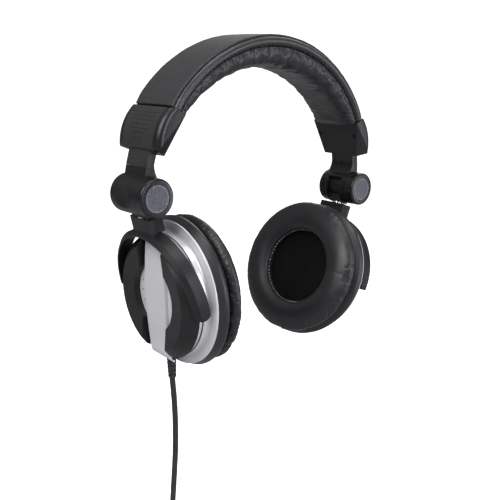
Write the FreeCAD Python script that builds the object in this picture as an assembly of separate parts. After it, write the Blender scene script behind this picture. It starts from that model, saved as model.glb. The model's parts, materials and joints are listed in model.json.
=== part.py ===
import FreeCAD, Part
import math
import os

# Folding over-ear headphones.
# Frame: origin at the underside of the headband pad, at its middle; +Z up; +X to the
# right-hand cup; +Y the way the wearer faces.  The left-hand cup carries the cable.
# Every paired piece is designed on the +X side and mirrored in the plane X = 0.

# ---------------------------------------------------------------- driving dimensions (mm)
# headband: two arcs on each side, measured on the outside of its cover
CROWN_TOP = 20.4
CROWN_R = 100.0
CROWN_HALF_ANGLE = 51.0
SHOULDER_R = 48.0
SHOULDER_END_ANGLE = 80.0
COVER_HALF_WIDTH = 17.8
COVER_SKIN = 1.5
PIPING_R = 2.7
PIPING_Y = 17.4
PIPING_DEPTH = 4.3
BAND_DEPTH = 3.2
BAND_THICKNESS = 1.2
BAND_HALF_WIDTH = 14.2
BAND_LEG_GAP = 7.2
BAND_LEG_START = 58.0
BAND_END_ANGLE = 75.0
WIRE_R = 0.8
WIRE_Y = 11.5
WIRE_DEPTH = 5.7
PAD_DEPTH = 7.4
PAD_HALF_WIDTH = 18.4
PAD_EDGE_FILLET = 6.5
PAD_CROWN_R = 93.0
PAD_CROWN_ANGLE = 35.0
PAD_FLANK_R = 112.0
PAD_FLANK_ANGLE = 50.0

# end caps of the headband
CAP_INNER_TOP = (76.2, -31.8)
CAP_OUTER_TOP = (84.4, -26.8)
CAP_OUTER_MID = (91.9, -37.4)
CAP_OUTER_BOTTOM = (93.9, -52.0)
CAP_INNER_BOTTOM = (85.6, -55.0)
CAP_HALF_WIDTH = 20.3
CAP_FOOT_HALF_WIDTH = 15.0
CAP_PLATE = 2.0
CAP_EDGE_FILLET = 4.0
CAP_ARC_CENTRE = (64.0, -48.5)
CAP_ARC_R = 30.0
DOT_ROWS = (11, 9, 9, 7, 7, 5, 3)
DOT_PITCH = 2.5
DOT_ROW_PITCH = 2.6
DOT_R = 0.45
DOT_DEPTH = 0.5
DOT_TOP_ANGLE = 35.0
CAP_SCREW_Y = 16.2
CAP_SCREW_DROP = 9.6

# curved size adjuster: everything that slides lies between two arcs about one centre
SLIDE_CENTRE = (-13.7, -78.4)
SLIDE_R_IN = 103.8
SLIDE_R_SPLIT = 105.9
SLIDE_R_OUT = 109.0
RAIL_THICKNESS = 1.2
RAIL_HALF_WIDTH = 6.0
ARM_HALF_WIDTH = 10.0
ARM_TOP_Z = -46.5
ARM_SEAM_Z = -62.0
RAIL_TOP_ANGLE = 25.5
CHANNEL_TOP_ANGLE = 21.6
SLIDE_GAP = 0.25
SLIDER_SCREW_Z = -61.0

# fold hinge
BARREL = (91.3, -78.6)
BARREL_R = 11.6
BARREL_HALF_LENGTH = 13.4
BARREL_BLIND_FILLET = 1.8
END_CAP_LENGTH = 5.2
END_CAP_FILLET = 1.6
BADGE_R = 8.0
BADGE_THICKNESS = 1.2
BADGE_RIB_PITCH = 1.15
BADGE_RIB_CUT = 0.5
DRUM_R = 8.0
DRUM_HALF_WIDTH = 5.9
HINGE_PIN_R = 2.5
HINGE_PIN_END = 11.0
GRIP_GROOVES = (7.8, 9.4, 11.0)
GRIP_GROOVE_WIDTH = 0.8
GRIP_GROOVE_DEPTH = 0.7
THUMB_R = 12.0
THUMB_DEPTH = 2.0
THUMB_ANGLE = -15.0
THUMB_STRETCH = (1.0, 1.1, 1.6)
STEM_LEAN = 18.5
FOLD_ANGLE = 80.0
NECK_HALF_THICKNESS = 4.0
NECK_END = 12.3

# yoke: a half ring that carries the cup between its tips; its own frame has the tilt
# axis at its origin, Z up the stem and X outward
STEM_LENGTH = 65.8
TILT_AXIS_OUT = 2.0
YOKE_R_IN = 40.2
YOKE_R_OUT = 44.0
YOKE_REAR = -6.2
YOKE_FRONT = 3.7
YOKE_CHAMFER_START = 1.2
YOKE_CHAMFER_R = 41.5
YOKE_TIP_DROP = 4.2
YOKE_TIP_RADIUS = 4.6
BLOCK_HALF_WIDTH = 10.3
BLOCK_TOP = STEM_LENGTH - 13.5
BLOCK_FRONT = 1.5
BLOCK_SPLIT = -1.45
BLOCK_REAR = -7.9
BLOCK_FOOT = 43.0
SWIVEL_PIN_R = 2.0
SWIVEL_CLIP_R = 3.2
SWIVEL_CLIP_Z = 46.9
WASHER_R = 3.6
REST_SWIVEL = 3.5

# ear cup: turned about its own axis (X outward), origin on the tilt axis
LEFT_TILT = 7.0
RIGHT_TILT = 16.0
FLOOR_BACK = -1.2
FLOOR_TOP = 0.4
WINDOW_R = 21.0
CHANNEL_HALF_WIDTH = 13.0
BAR_HALF_WIDTH = 10.8
BAR_CROWN = 4.3
BAR_CROWN_END = (2.5, 33.0)
BAR_BEVEL = 0.8
DISC_TOP = 1.5
HOLE_R = 0.8
HOLE_RING_R = 17.6
HOLE_ANGLES = (-44.0, -22.0, 0.0, 22.0, 44.0)
SHELL_R = 38.4
FLANGE_R = 45.5
FLANGE_BACK = -10.3
SHELL_BACK = -10.9
SHELL_BORE_R = 35.8
SCREW_BOSS_R = 3.0
SCREW_PILOT_R = 0.95
SCREW_SHANK_R = 0.93
SCREW_HEAD_R = 2.2
PIVOT_PIN_R = 1.6
PIVOT_PIN_START = 34.9
PIVOT_PIN_END = 43.0
BAFFLE_R = 44.6
CUP_SCREW_RING = 33.0
PAD_SEAM = -20.5
PAD_SEAM_R = 42.0
RING_BORE_R = 40.0
CLOTH_R = 39.8

# cable
RELIEF_N = -6.0
RELIEF_TOP = -34.5
RELIEF_SHOULDER = -39.6
RELIEF_END = -57.3
RELIEF_RIBS = 6
RELIEF_RIB_R = 3.2
RELIEF_RIB_STEP = 0.12
RELIEF_NECK_R = 2.9
RELIEF_FLANGE_R = 3.9
CABLE_PIVOT_DROP = 2.3
CABLE_R = 1.9
CABLE_BEND_R = 330.0
CABLE_BEND_ANGLE = 10.5
PLUG_TOP_Z = -288.0
PLUG_GRIP_R = 5.6
PLUG_GRIP_LENGTH = 30.0
PLUG_BODY_LENGTH = 17.0
PLUG_TAPER = 9.0
PLUG_NECK_R = 2.6
JACK_R = 3.175
JACK_SLEEVE = 19.0
JACK_LENGTH = 30.5

# clearances
FIXED_GAP = 0.02
FIT_GAP = 0.05
RUN_GAP = 0.05
SEAT_GAP = 0.1
SOFT_GAP = 0.3

V = FreeCAD.Vector
ORIGIN = V(0, 0, 0)
X_AXIS = V(1, 0, 0)
Y_AXIS = V(0, 1, 0)
Z_AXIS = V(0, 0, 1)


# ---------------------------------------------------------------- drawing helpers
def at(point):
    """A drawing point (x, z) as a vector in the plane Y = 0."""
    return V(point[0], 0, point[1])


def polar(centre, radius, degrees):
    """Point on a circle in XZ, with the angle measured from +X towards +Z."""
    angle = math.radians(degrees)
    return (centre[0] + radius * math.cos(angle), centre[1] + radius * math.sin(angle))


def sheet(steps):
    """Closed face in XZ.  A step is a point for a line, or (mid, end) for an arc."""
    edges = []
    here = at(steps[0])
    for step in list(steps[1:]) + [steps[0]]:
        if isinstance(step[0], tuple):
            there = at(step[1])
            edges.append(Part.Arc(here, at(step[0]), there).toShape())
        else:
            there = at(step)
            if here.distanceToPoint(there) < 1e-6:
                continue
            edges.append(Part.makeLine(here, there))
        here = there
    return Part.Face(Part.Wire(edges))


def slab(steps, y_low, y_high):
    """XZ outline extruded from y_low to y_high."""
    face = sheet(steps)
    face.translate(V(0, y_low, 0))
    return face.extrude(V(0, y_high - y_low, 0))


def turned(steps):
    """(axial, radius) outline turned about the X axis."""
    return sheet(steps).revolve(ORIGIN, X_AXIS, 360)


def arc_strip(centre, r_in, r_out, low, high, y_low, y_high):
    """Part of a thick cylinder about a Y axis, between two angles from +X."""
    mid = (low + high) / 2
    steps = [polar(centre, r_out, low), (polar(centre, r_out, mid), polar(centre, r_out, high)),
             polar(centre, r_in, high), (polar(centre, r_in, mid), polar(centre, r_in, low))]
    return slab(steps, y_low, y_high)


def box(x_low, x_high, y_low, y_high, z_low, z_high):
    """Box from its low and high coordinates."""
    return Part.makeBox(x_high - x_low, y_high - y_low, z_high - z_low, V(x_low, y_low, z_low))


def rod(radius, start, end):
    """Cylinder between two points."""
    return Part.makeCylinder(radius, start.distanceToPoint(end), start, end - start)


def fused(shapes):
    """One clean solid from overlapping shapes."""
    return shapes[0].multiFuse(shapes[1:]).removeSplitter()


def mirrored(shape):
    """The same piece on the other side of X = 0."""
    return shape.mirror(ORIGIN, X_AXIS)


def group(shapes):
    """Several separate solids that share one name."""
    return Part.makeCompound(shapes)


# ---------------------------------------------------------------- headband
def shoulder_centre():
    """Centre of the shoulder arc, which continues the crown arc smoothly."""
    lean = math.radians(CROWN_HALF_ANGLE)
    run = CROWN_R - SHOULDER_R
    return (run * math.sin(lean), CROWN_TOP - CROWN_R + run * math.cos(lean))


def band_point(depth, angle):
    """Point at a depth under the cover; the angle is measured from the top."""
    if angle <= CROWN_HALF_ANGLE:
        return polar((0, CROWN_TOP - CROWN_R), CROWN_R - depth, 90 - angle)
    return polar(shoulder_centre(), SHOULDER_R - depth, 90 - angle)


def flip(point):
    return (-point[0], point[1])


def band_run(depth, end):
    """Drawing steps along the band from its left end to its right end."""
    turn = CROWN_HALF_ANGLE
    between = (turn + end) / 2
    right = band_point(depth, turn)
    return [flip(band_point(depth, end)), (flip(band_point(depth, between)), flip(right)),
            (band_point(depth, 0), right), (band_point(depth, between), band_point(depth, end))]


def reversed_run(depth, end):
    """The same steps from the right end back to the left end."""
    turn = CROWN_HALF_ANGLE
    between = (turn + end) / 2
    right = band_point(depth, turn)
    return [band_point(depth, end), (band_point(depth, between), right),
            (band_point(depth, 0), flip(right)),
            (flip(band_point(depth, between)), flip(band_point(depth, end)))]


def band_layer(shallow, deep, y_low, y_high, end=SHOULDER_END_ANGLE):
    """A layer of the headband between two depths."""
    return slab(band_run(shallow, end) + reversed_run(deep, end), y_low, y_high)


def cap_top_frame():
    """Start point, direction and upward normal of the cap's top face."""
    start = at(CAP_INNER_TOP)
    along = (at(CAP_OUTER_TOP) - start).normalize()
    return start, along, V(-along.z, 0, along.x)


def clear_of_caps(shape):
    """Cut a band layer off just above both end caps."""
    start, along, normal = cap_top_frame()
    low = start + normal * SOFT_GAP - along * 34
    high = low + along * 70
    corners = [low, high, high - normal * 60, low - normal * 60]
    below = slab([(p.x, p.z) for p in corners], -40, 40)
    return shape.cut(below).cut(mirrored(below))


def headband_cover():
    """Leatherette skin over the top of the band."""
    return clear_of_caps(band_layer(0, COVER_SKIN, -COVER_HALF_WIDTH, COVER_HALF_WIDTH))


def band_path(depth, y, end=SHOULDER_END_ANGLE):
    """Centre line of a cord that runs along the band."""
    steps = band_run(depth, end)
    edges = []
    here = at(steps[0])
    for mid, last in steps[1:]:
        edges.append(Part.Arc(here, at(mid), at(last)).toShape())
        here = at(last)
    wire = Part.Wire(edges)
    wire.translate(V(0, y, 0))
    return wire


def cord(path, radius):
    """Round cord along a path."""
    start = path.Edges[0]
    first = start.firstVertex().Point
    tangent = start.tangentAt(start.FirstParameter)
    ring = Part.Wire(Part.makeCircle(radius, first, tangent))
    return Part.Wire(path).makePipeShell([ring], True, True)


def headband_piping():
    """The two rolled edges of the cover."""
    rolls = [clear_of_caps(cord(band_path(PIPING_DEPTH, side * PIPING_Y), PIPING_R)) for side in (-1, 1)]
    return group([roll.Solids[0] for roll in rolls])


def spring_band():
    """Steel strip with two legs at each end, one each side of the size adjuster."""
    strip = band_layer(BAND_DEPTH, BAND_DEPTH + BAND_THICKNESS, -BAND_HALF_WIDTH, BAND_HALF_WIDTH,
                       BAND_END_ANGLE)
    centre = shoulder_centre()
    slot = arc_strip(centre, SHOULDER_R - 8, SHOULDER_R, 90 - BAND_END_ANGLE - 5,
                     90 - BAND_LEG_START, -BAND_LEG_GAP, BAND_LEG_GAP)
    return strip.cut(slot).cut(mirrored(slot))


def headband_wire():
    """Signal wire from the cabled side to the other side."""
    return clear_of_caps(cord(band_path(WIRE_DEPTH, WIRE_Y), WIRE_R)).Solids[0]


def headband_cushion():
    """Soft pad under the band, thickest at the top."""
    turn = PAD_CROWN_ANGLE
    shoulder = pad_point(turn)
    flank = pad_point((turn + PAD_FLANK_ANGLE) / 2)
    end = pad_point(PAD_FLANK_ANGLE)
    steps = band_run(PAD_DEPTH, SHOULDER_END_ANGLE)
    steps += [end, (flank, shoulder), ((0, 0), flip(shoulder)), (flip(flank), flip(end))]
    pad = clear_of_caps(slab(steps, -PAD_HALF_WIDTH, PAD_HALF_WIDTH))
    return pad.makeFillet(PAD_EDGE_FILLET, pad_inner_edges(pad))


def pad_point(angle):
    """Point on the pad's underside; the angle is measured from the top."""
    if angle <= PAD_CROWN_ANGLE:
        return polar((0, -PAD_CROWN_R), PAD_CROWN_R, 90 - angle)
    lean = math.radians(PAD_CROWN_ANGLE)
    run = PAD_CROWN_R - PAD_FLANK_R
    centre = (run * math.sin(lean), -PAD_CROWN_R + run * math.cos(lean))
    return polar(centre, PAD_FLANK_R, 90 - angle)


def pad_inner_edges(pad):
    """Long edges of the pad's head side."""
    found = []
    for edge in pad.Edges:
        middle = edge.valueAt((edge.FirstParameter + edge.LastParameter) / 2)
        first, last = [v.Point for v in edge.Vertexes]
        runs_along = abs(first.y - last.y) < 0.1 and first.distanceToPoint(last) > 15
        reach = math.hypot(middle.x, middle.z - CROWN_TOP + CROWN_R)
        if runs_along and reach < CROWN_R - PAD_DEPTH - 2.5:
            found.append(edge)
    return found


# ---------------------------------------------------------------- end caps
def cap_block():
    """Outside of an end cap before it is split."""
    steps = [CAP_INNER_TOP, CAP_OUTER_TOP, (CAP_OUTER_MID, CAP_OUTER_BOTTOM), CAP_INNER_BOTTOM]
    block = slab(steps, -CAP_HALF_WIDTH, CAP_HALF_WIDTH)
    rounded = []
    for edge in block.Edges:
        middle = edge.valueAt((edge.FirstParameter + edge.LastParameter) / 2)
        from_centre = at(CAP_ARC_CENTRE).distanceToPoint(V(middle.x, 0, middle.z))
        if edge.Length > 20 and abs(from_centre - CAP_ARC_R) < 1.5:
            rounded.append(edge)
    block = block.makeFillet(CAP_EDGE_FILLET, rounded)
    for side in (-1, 1):
        block = block.cut(cap_side_wedge(side))
    return block


def cap_side_wedge(side):
    """Waste outside the side that narrows towards the foot of the inner face."""
    inner_top = V(CAP_INNER_TOP[0], side * CAP_HALF_WIDTH, CAP_INNER_TOP[1])
    outer_foot = V(CAP_OUTER_BOTTOM[0], side * CAP_HALF_WIDTH, CAP_OUTER_BOTTOM[1])
    inner_foot = V(CAP_INNER_BOTTOM[0], side * CAP_FOOT_HALF_WIDTH, CAP_INNER_BOTTOM[1])
    normal = (outer_foot - inner_top).cross(inner_foot - inner_top).normalize()
    if normal.y * side < 0:
        normal = normal * -1
    big = 80.0
    along = (outer_foot - inner_top).normalize()
    across = normal.cross(along)
    start = inner_top - along * big - across * big
    corners = [start, start + along * 2 * big, start + along * 2 * big + across * 2 * big,
               start + across * 2 * big, start]
    return Part.Face(Part.makePolygon(corners)).extrude(normal * 40)


def cap_inner_frame():
    """Inner face of the cap: top point, direction down it, and direction into the cap."""
    top = at(CAP_INNER_TOP)
    down = (at(CAP_INNER_BOTTOM) - top).normalize()
    return top, down, V(-down.z, 0, down.x)


def cap_cavities():
    """Space in the cap for the slider, its rail and the legs of the spring band."""
    gap = SLIDE_GAP
    channel = arc_strip(SLIDE_CENTRE, SLIDE_R_IN - gap, SLIDE_R_OUT + gap, 5, CHANNEL_TOP_ANGLE,
                        -ARM_HALF_WIDTH - gap, ARM_HALF_WIDTH + gap)
    rail_slot = arc_strip(SLIDE_CENTRE, SLIDE_R_SPLIT - gap, SLIDE_R_SPLIT + RAIL_THICKNESS + gap,
                          CHANNEL_TOP_ANGLE - 1, 40, -RAIL_HALF_WIDTH - gap, RAIL_HALF_WIDTH + gap)
    spaces = [channel, rail_slot]
    leg_r = SHOULDER_R - BAND_DEPTH
    for side in (-1, 1):
        edges = sorted((side * (BAND_LEG_GAP - FIXED_GAP), side * (BAND_HALF_WIDTH + FIXED_GAP)))
        spaces.append(arc_strip(shoulder_centre(), leg_r - BAND_THICKNESS - FIXED_GAP, leg_r + FIXED_GAP,
                                90 - BAND_END_ANGLE - 0.5, 40, edges[0], edges[1]))
    return spaces


def cap_screw_seats():
    """Mouth of each screw hole and the direction the screw goes in."""
    top, down, inward = cap_inner_frame()
    return [(top + down * CAP_SCREW_DROP + V(0, side * CAP_SCREW_Y, 0), inward) for side in (-1, 1)]


def cap_dots(block_arc_centre):
    """Pattern of small blind dots on the outer face."""
    dots = []
    for row, count in enumerate(DOT_ROWS):
        angle = DOT_TOP_ANGLE - math.degrees(row * DOT_ROW_PITCH / CAP_ARC_R)
        surface = at(polar(block_arc_centre, CAP_ARC_R + 1, angle))
        bottom = at(polar(block_arc_centre, CAP_ARC_R - DOT_DEPTH, angle))
        for index in range(count):
            shift = V(0, (index - (count - 1) / 2) * DOT_PITCH, 0)
            dots.append(rod(DOT_R, surface + shift, bottom + shift))
    return group(dots)


def cap_parts():
    """Outer shell and inner plate of an end cap."""
    hollow = cap_block()
    for space in cap_cavities():
        hollow = hollow.cut(space)
    for mouth, inward in cap_screw_seats():
        hollow = hollow.cut(rod(0.92, mouth - inward, mouth + inward * 7.2))
        hollow = hollow.cut(rod(1.7, mouth - inward, mouth + inward * 1.7))
    top, down, inward = cap_inner_frame()
    start = top - down * 20 - inward * 20
    corners = [start, start + down * 80, start + down * 80 + inward * (20 + CAP_PLATE),
               start + inward * (20 + CAP_PLATE)]
    inner_side = slab([(p.x, p.z) for p in corners], -40, 40)
    shift = inward * -FIXED_GAP
    inner = hollow.common(inner_side.translated(shift))
    outer = hollow.cut(inner_side).cut(cap_dots(CAP_ARC_CENTRE))
    return biggest(outer), biggest(inner)


def biggest(shape):
    """The largest solid of a shape."""
    return max(shape.Solids, key=lambda solid: solid.Volume)


def cap_screws():
    """Two countersunk screws on each side that close the end cap."""
    screws = []
    for mouth, inward in cap_screw_seats():
        head = rod(1.6, mouth + inward * 0.7, mouth + inward * 1.65)
        shank = rod(0.9, mouth + inward * 1.2, mouth + inward * 7.0)
        cross = rod(0.45, mouth + inward * 0.5, mouth + inward * 1.1)
        screws.append(head.fuse(shank).cut(cross))
    return group(screws + [mirrored(screw) for screw in screws])


# ---------------------------------------------------------------- size adjuster and hinge barrel
def slide_angle(radius, z):
    """Angle on the adjuster's arc at a height."""
    return math.degrees(math.asin((z - SLIDE_CENTRE[1]) / radius))


def slider_rail():
    """Steel strip that runs in the cap."""
    return arc_strip(SLIDE_CENTRE, SLIDE_R_SPLIT, SLIDE_R_SPLIT + RAIL_THICKNESS,
                     slide_angle(SLIDE_R_SPLIT, ARM_TOP_Z - 6), RAIL_TOP_ANGLE,
                     -RAIL_HALF_WIDTH, RAIL_HALF_WIDTH)


def slider_arm():
    """Outer half of the visible arm, moulded round the lower end of the rail."""
    low = slide_angle(SLIDE_R_OUT, ARM_SEAM_Z)
    arm = arc_strip(SLIDE_CENTRE, SLIDE_R_SPLIT, SLIDE_R_OUT, low,
                    slide_angle(SLIDE_R_OUT, ARM_TOP_Z), -ARM_HALF_WIDTH, ARM_HALF_WIDTH)
    seat = arc_strip(SLIDE_CENTRE, SLIDE_R_SPLIT - 1, SLIDE_R_SPLIT + RAIL_THICKNESS + FIXED_GAP,
                     slide_angle(SLIDE_R_SPLIT, ARM_TOP_Z - 6) - 0.02, RAIL_TOP_ANGLE,
                     -RAIL_HALF_WIDTH - FIXED_GAP, RAIL_HALF_WIDTH + FIXED_GAP)
    return arm.cut(seat).cut(slider_screw_space())


def slider_back():
    """Inner half of the arm, flaring onto the barrel."""
    r_out = SLIDE_R_SPLIT - FIXED_GAP
    high = slide_angle(r_out, ARM_TOP_Z)
    low = slide_angle(r_out, BARREL[1] + 8)
    turn = slide_angle(SLIDE_R_IN, ARM_SEAM_Z + 1.5)
    steps = [polar(SLIDE_CENTRE, r_out, low),
             (polar(SLIDE_CENTRE, r_out, (low + high) / 2), polar(SLIDE_CENTRE, r_out, high)),
             polar(SLIDE_CENTRE, SLIDE_R_IN, high),
             (polar(SLIDE_CENTRE, SLIDE_R_IN, (turn + high) / 2), polar(SLIDE_CENTRE, SLIDE_R_IN, turn)),
             ((87.5, -65.0), (84.9, -69.2)), (84.9, BARREL[1] + 8)]
    back = slab(steps, -ARM_HALF_WIDTH + 0.1, ARM_HALF_WIDTH - 0.1)
    barrel = rod(BARREL_R + RUN_GAP, V(BARREL[0], -30, BARREL[1]), V(BARREL[0], 30, BARREL[1]))
    return biggest(back.cut(barrel).cut(slider_screw_space()))


def slider_screw_line():
    """Mouth of the arm's screw hole and its direction."""
    angle = slide_angle(SLIDE_R_IN, SLIDER_SCREW_Z)
    mouth = at(polar(SLIDE_CENTRE, SLIDE_R_IN, angle))
    return mouth, (mouth - at(SLIDE_CENTRE)).normalize()


def slider_screw_space():
    """Counterbored hole for the arm's screw."""
    mouth, inward = slider_screw_line()
    return rod(1.5, mouth - inward, mouth + inward * 1.2).fuse(rod(0.92, mouth, mouth + inward * 4.2))


def slider_screw():
    """Screw that joins the two halves of the arm."""
    mouth, inward = slider_screw_line()
    head = rod(1.4, mouth + inward * 0.3, mouth + inward * 1.15)
    shank = rod(0.9, mouth + inward, mouth + inward * 4.1)
    return head.fuse(shank).cut(rod(0.4, mouth, mouth + inward * 0.7))


def hinge_rod(radius, y_low, y_high):
    """Cylinder on the fold axis."""
    return rod(radius, V(BARREL[0], y_low, BARREL[1]), V(BARREL[0], y_high, BARREL[1]))


def hinge_barrel():
    """Barrel with a slot for the folding knuckle and a neck up to the arm."""
    body = hinge_rod(BARREL_R, -BARREL_HALF_LENGTH, BARREL_HALF_LENGTH)
    body = body.makeFillet(BARREL_BLIND_FILLET, rim_edges(body, BARREL_HALF_LENGTH))
    neck = arc_strip(SLIDE_CENTRE, SLIDE_R_SPLIT, SLIDE_R_OUT, slide_angle(SLIDE_R_OUT, BARREL[1] + 7),
                     slide_angle(SLIDE_R_OUT, ARM_SEAM_Z) - 0.03, -ARM_HALF_WIDTH, ARM_HALF_WIDTH)
    barrel = fused([body, neck])
    slot_y = DRUM_HALF_WIDTH + 0.2
    barrel = barrel.cut(hinge_rod(DRUM_R + 0.15, -slot_y, slot_y))
    # angles from +X: the stem points down and inward at rest and turns up and inward
    rest = 270 - STEM_LEAN
    spread = math.degrees(math.asin(NECK_HALF_THICKNESS / DRUM_R)) + 2
    opening = arc_strip(BARREL, DRUM_R - 1, BARREL_R + 3, rest - FOLD_ANGLE - spread, rest + spread,
                        -slot_y, slot_y)
    barrel = barrel.cut(opening)
    barrel = barrel.cut(hinge_rod(HINGE_PIN_R + FIXED_GAP, -20, HINGE_PIN_END + SEAT_GAP))
    grooves = []
    for y in GRIP_GROOVES:
        for side in (-1, 1):
            edges = (side * y - GRIP_GROOVE_WIDTH / 2, side * y + GRIP_GROOVE_WIDTH / 2)
            grooves.append(arc_strip(BARREL, BARREL_R - GRIP_GROOVE_DEPTH, BARREL_R + 2, 150, 225,
                                     edges[0], edges[1]))
    return barrel.cut(group(grooves)).cut(thumb_dimple()).cut(slider_screw_space())


def thumb_dimple():
    """Ball that hollows the outside of the barrel."""
    centre = at(polar(BARREL, BARREL_R + THUMB_R - THUMB_DEPTH, THUMB_ANGLE))
    ball = Part.makeSphere(THUMB_R)
    stretch = FreeCAD.Matrix()
    stretch.scale(*THUMB_STRETCH)
    ball = ball.transformGeometry(stretch)
    ball.translate(centre)
    return ball


def rim_edges(shape, y):
    """Edges that lie in a plane across the fold axis."""
    return [e for e in shape.Edges if abs(e.BoundBox.YMin - y) < 0.01 and abs(e.BoundBox.YMax - y) < 0.01]


def hinge_end_cap():
    """Cap that closes the open end of the barrel, with a round recess."""
    outer = -BARREL_HALF_LENGTH - END_CAP_LENGTH
    cap = hinge_rod(BARREL_R, outer, -BARREL_HALF_LENGTH - RUN_GAP)
    cap = cap.makeFillet(END_CAP_FILLET, rim_edges(cap, outer))
    return cap.cut(hinge_rod(BADGE_R + 0.15, outer - 1, outer + BADGE_THICKNESS + 0.3))


def hinge_badge():
    """Ribbed disc that sits in the end cap's recess."""
    face_y = -BARREL_HALF_LENGTH - END_CAP_LENGTH + 0.25
    disc = hinge_rod(BADGE_R, face_y, face_y + BADGE_THICKNESS - 0.1)
    cuts = []
    count = int(2 * BADGE_R / BADGE_RIB_PITCH)
    for index in range(count):
        offset = (index - (count - 1) / 2) * BADGE_RIB_PITCH
        reach = math.sqrt(max((BADGE_R - 0.9) ** 2 - offset ** 2, 0))
        if reach < 1.5:
            continue
        cut = box(-reach, reach, face_y - 1, face_y + 0.3, offset - BADGE_RIB_CUT / 2,
                  offset + BADGE_RIB_CUT / 2)
        cut.rotate(ORIGIN, Y_AXIS, 45)
        cut.translate(at(BARREL))
        cuts.append(cut)
    return disc.cut(group(cuts))


# ---------------------------------------------------------------- knuckle and yoke
def seat_on_stem(shape):
    """Move a piece from the yoke's frame to its place at rest."""
    placed = shape.copy()
    placed.rotate(ORIGIN, Y_AXIS, STEM_LEAN)
    placed.translate(tilt_centre())
    return placed


def turned_in(shape):
    """Turn a placed yoke or cup piece about the leaning swivel axis to its rest angle."""
    lean = math.radians(STEM_LEAN)
    shape.rotate(V(BARREL[0], 0, BARREL[1]), V(math.sin(lean), 0, math.cos(lean)), REST_SWIVEL)
    return shape


def tilt_centre():
    """Middle of the tilt axis, worked out from the fold axis and the leaning stem."""
    lean = math.radians(STEM_LEAN)
    out_x = TILT_AXIS_OUT * math.cos(lean) - STEM_LENGTH * math.sin(lean)
    out_z = -TILT_AXIS_OUT * math.sin(lean) - STEM_LENGTH * math.cos(lean)
    return V(BARREL[0] + out_x, 0, BARREL[1] + out_z)


def hinge_knuckle():
    """Drum on the hinge pin with a short neck down to the swivel."""
    axis = V(-TILT_AXIS_OUT, 0, STEM_LENGTH)
    wide = V(0, DRUM_HALF_WIDTH, 0)
    drum = rod(DRUM_R, axis - wide, axis + wide)
    neck = box(axis.x - NECK_HALF_THICKNESS, axis.x + NECK_HALF_THICKNESS, -DRUM_HALF_WIDTH,
               DRUM_HALF_WIDTH, STEM_LENGTH - NECK_END, STEM_LENGTH)
    knuckle = fused([drum, neck])
    knuckle = knuckle.cut(rod(HINGE_PIN_R + RUN_GAP, axis - wide * 2, axis + wide * 2))
    foot = V(axis.x, 0, STEM_LENGTH - NECK_END - 1)
    return seat_on_stem(knuckle.cut(rod(SWIVEL_PIN_R + FIXED_GAP, foot, foot + Z_AXIS * 5)))


def swivel_pin():
    """Pin with a washer above the yoke and a retaining clip inside it."""
    x = -TILT_AXIS_OUT
    pin = rod(SWIVEL_PIN_R, V(x, 0, SWIVEL_CLIP_Z - 1.0), V(x, 0, STEM_LENGTH - NECK_END + 3.9))
    washer = rod(WASHER_R, V(x, 0, BLOCK_TOP + 0.06), V(x, 0, STEM_LENGTH - NECK_END - FIXED_GAP))
    clip = rod(SWIVEL_CLIP_R, V(x, 0, SWIVEL_CLIP_Z), V(x, 0, SWIVEL_CLIP_Z + 0.8))
    return seat_on_stem(fused([pin, washer, clip]))


def swivel_space():
    """Bore in the yoke block for the swivel pin and its clip."""
    x = -TILT_AXIS_OUT
    bore = rod(SWIVEL_PIN_R + RUN_GAP, V(x, 0, SWIVEL_CLIP_Z - 1.3), V(x, 0, BLOCK_TOP + 1))
    pocket = rod(SWIVEL_CLIP_R + SEAT_GAP, V(x, 0, SWIVEL_CLIP_Z - 0.1), V(x, 0, SWIVEL_CLIP_Z + 0.9))
    return bore.fuse(pocket)


def yoke_ring():
    """Ring section that the arms are cut from."""
    return turned([(YOKE_REAR, YOKE_R_IN), (YOKE_REAR, YOKE_R_OUT - 0.7), (YOKE_REAR + 0.7, YOKE_R_OUT),
                   (YOKE_CHAMFER_START, YOKE_R_OUT), (YOKE_FRONT, YOKE_CHAMFER_R),
                   (YOKE_FRONT, YOKE_R_IN)])


def yoke():
    """Half ring with rounded tips, and the front plate of its stem block."""
    tip_r = YOKE_TIP_RADIUS
    drop = YOKE_TIP_DROP
    bend = tip_r * (1 - math.sqrt(0.5))
    window = slab([(YOKE_REAR, 60), (YOKE_REAR, tip_r - drop),
                   ((YOKE_REAR + bend, bend - drop), (YOKE_REAR + tip_r, -drop)),
                   (YOKE_FRONT - tip_r, -drop),
                   ((YOKE_FRONT - bend, bend - drop), (YOKE_FRONT, tip_r - drop)),
                   (YOKE_FRONT, 60)], -60, 60)
    arms = yoke_ring().common(window)
    plate = box(BLOCK_SPLIT, BLOCK_FRONT, -BLOCK_HALF_WIDTH, BLOCK_HALF_WIDTH, YOKE_R_IN + 0.6, BLOCK_TOP)
    whole = fused([arms, plate])
    whole = whole.cut(swivel_space())
    reach = V(0, PIVOT_PIN_END + RUN_GAP, 0)
    return turned_in(seat_on_stem(whole.cut(rod(PIVOT_PIN_R + RUN_GAP, reach * -1, reach))))


def yoke_back():
    """Rear half of the stem block, with finger ribs."""
    block = box(BLOCK_REAR, BLOCK_SPLIT - FIXED_GAP, -BLOCK_HALF_WIDTH + 0.1, BLOCK_HALF_WIDTH - 0.1,
                BLOCK_FOOT, BLOCK_TOP - 0.4)
    ring = turned([(YOKE_REAR - 0.05, 0), (YOKE_REAR - 0.05, YOKE_R_OUT + 0.05),
                   (YOKE_FRONT, YOKE_R_OUT + 0.05), (YOKE_FRONT, 0)])
    grooves = [box(BLOCK_REAR - 1, BLOCK_REAR + 0.8, y - 0.6, y + 0.6, BLOCK_FOOT - 1, BLOCK_TOP - 2)
               for y in (-6.0, -3.0, 0.0, 3.0, 6.0)]
    return turned_in(seat_on_stem(block.cut(ring).cut(group(grooves)).cut(swivel_space())))


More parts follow.
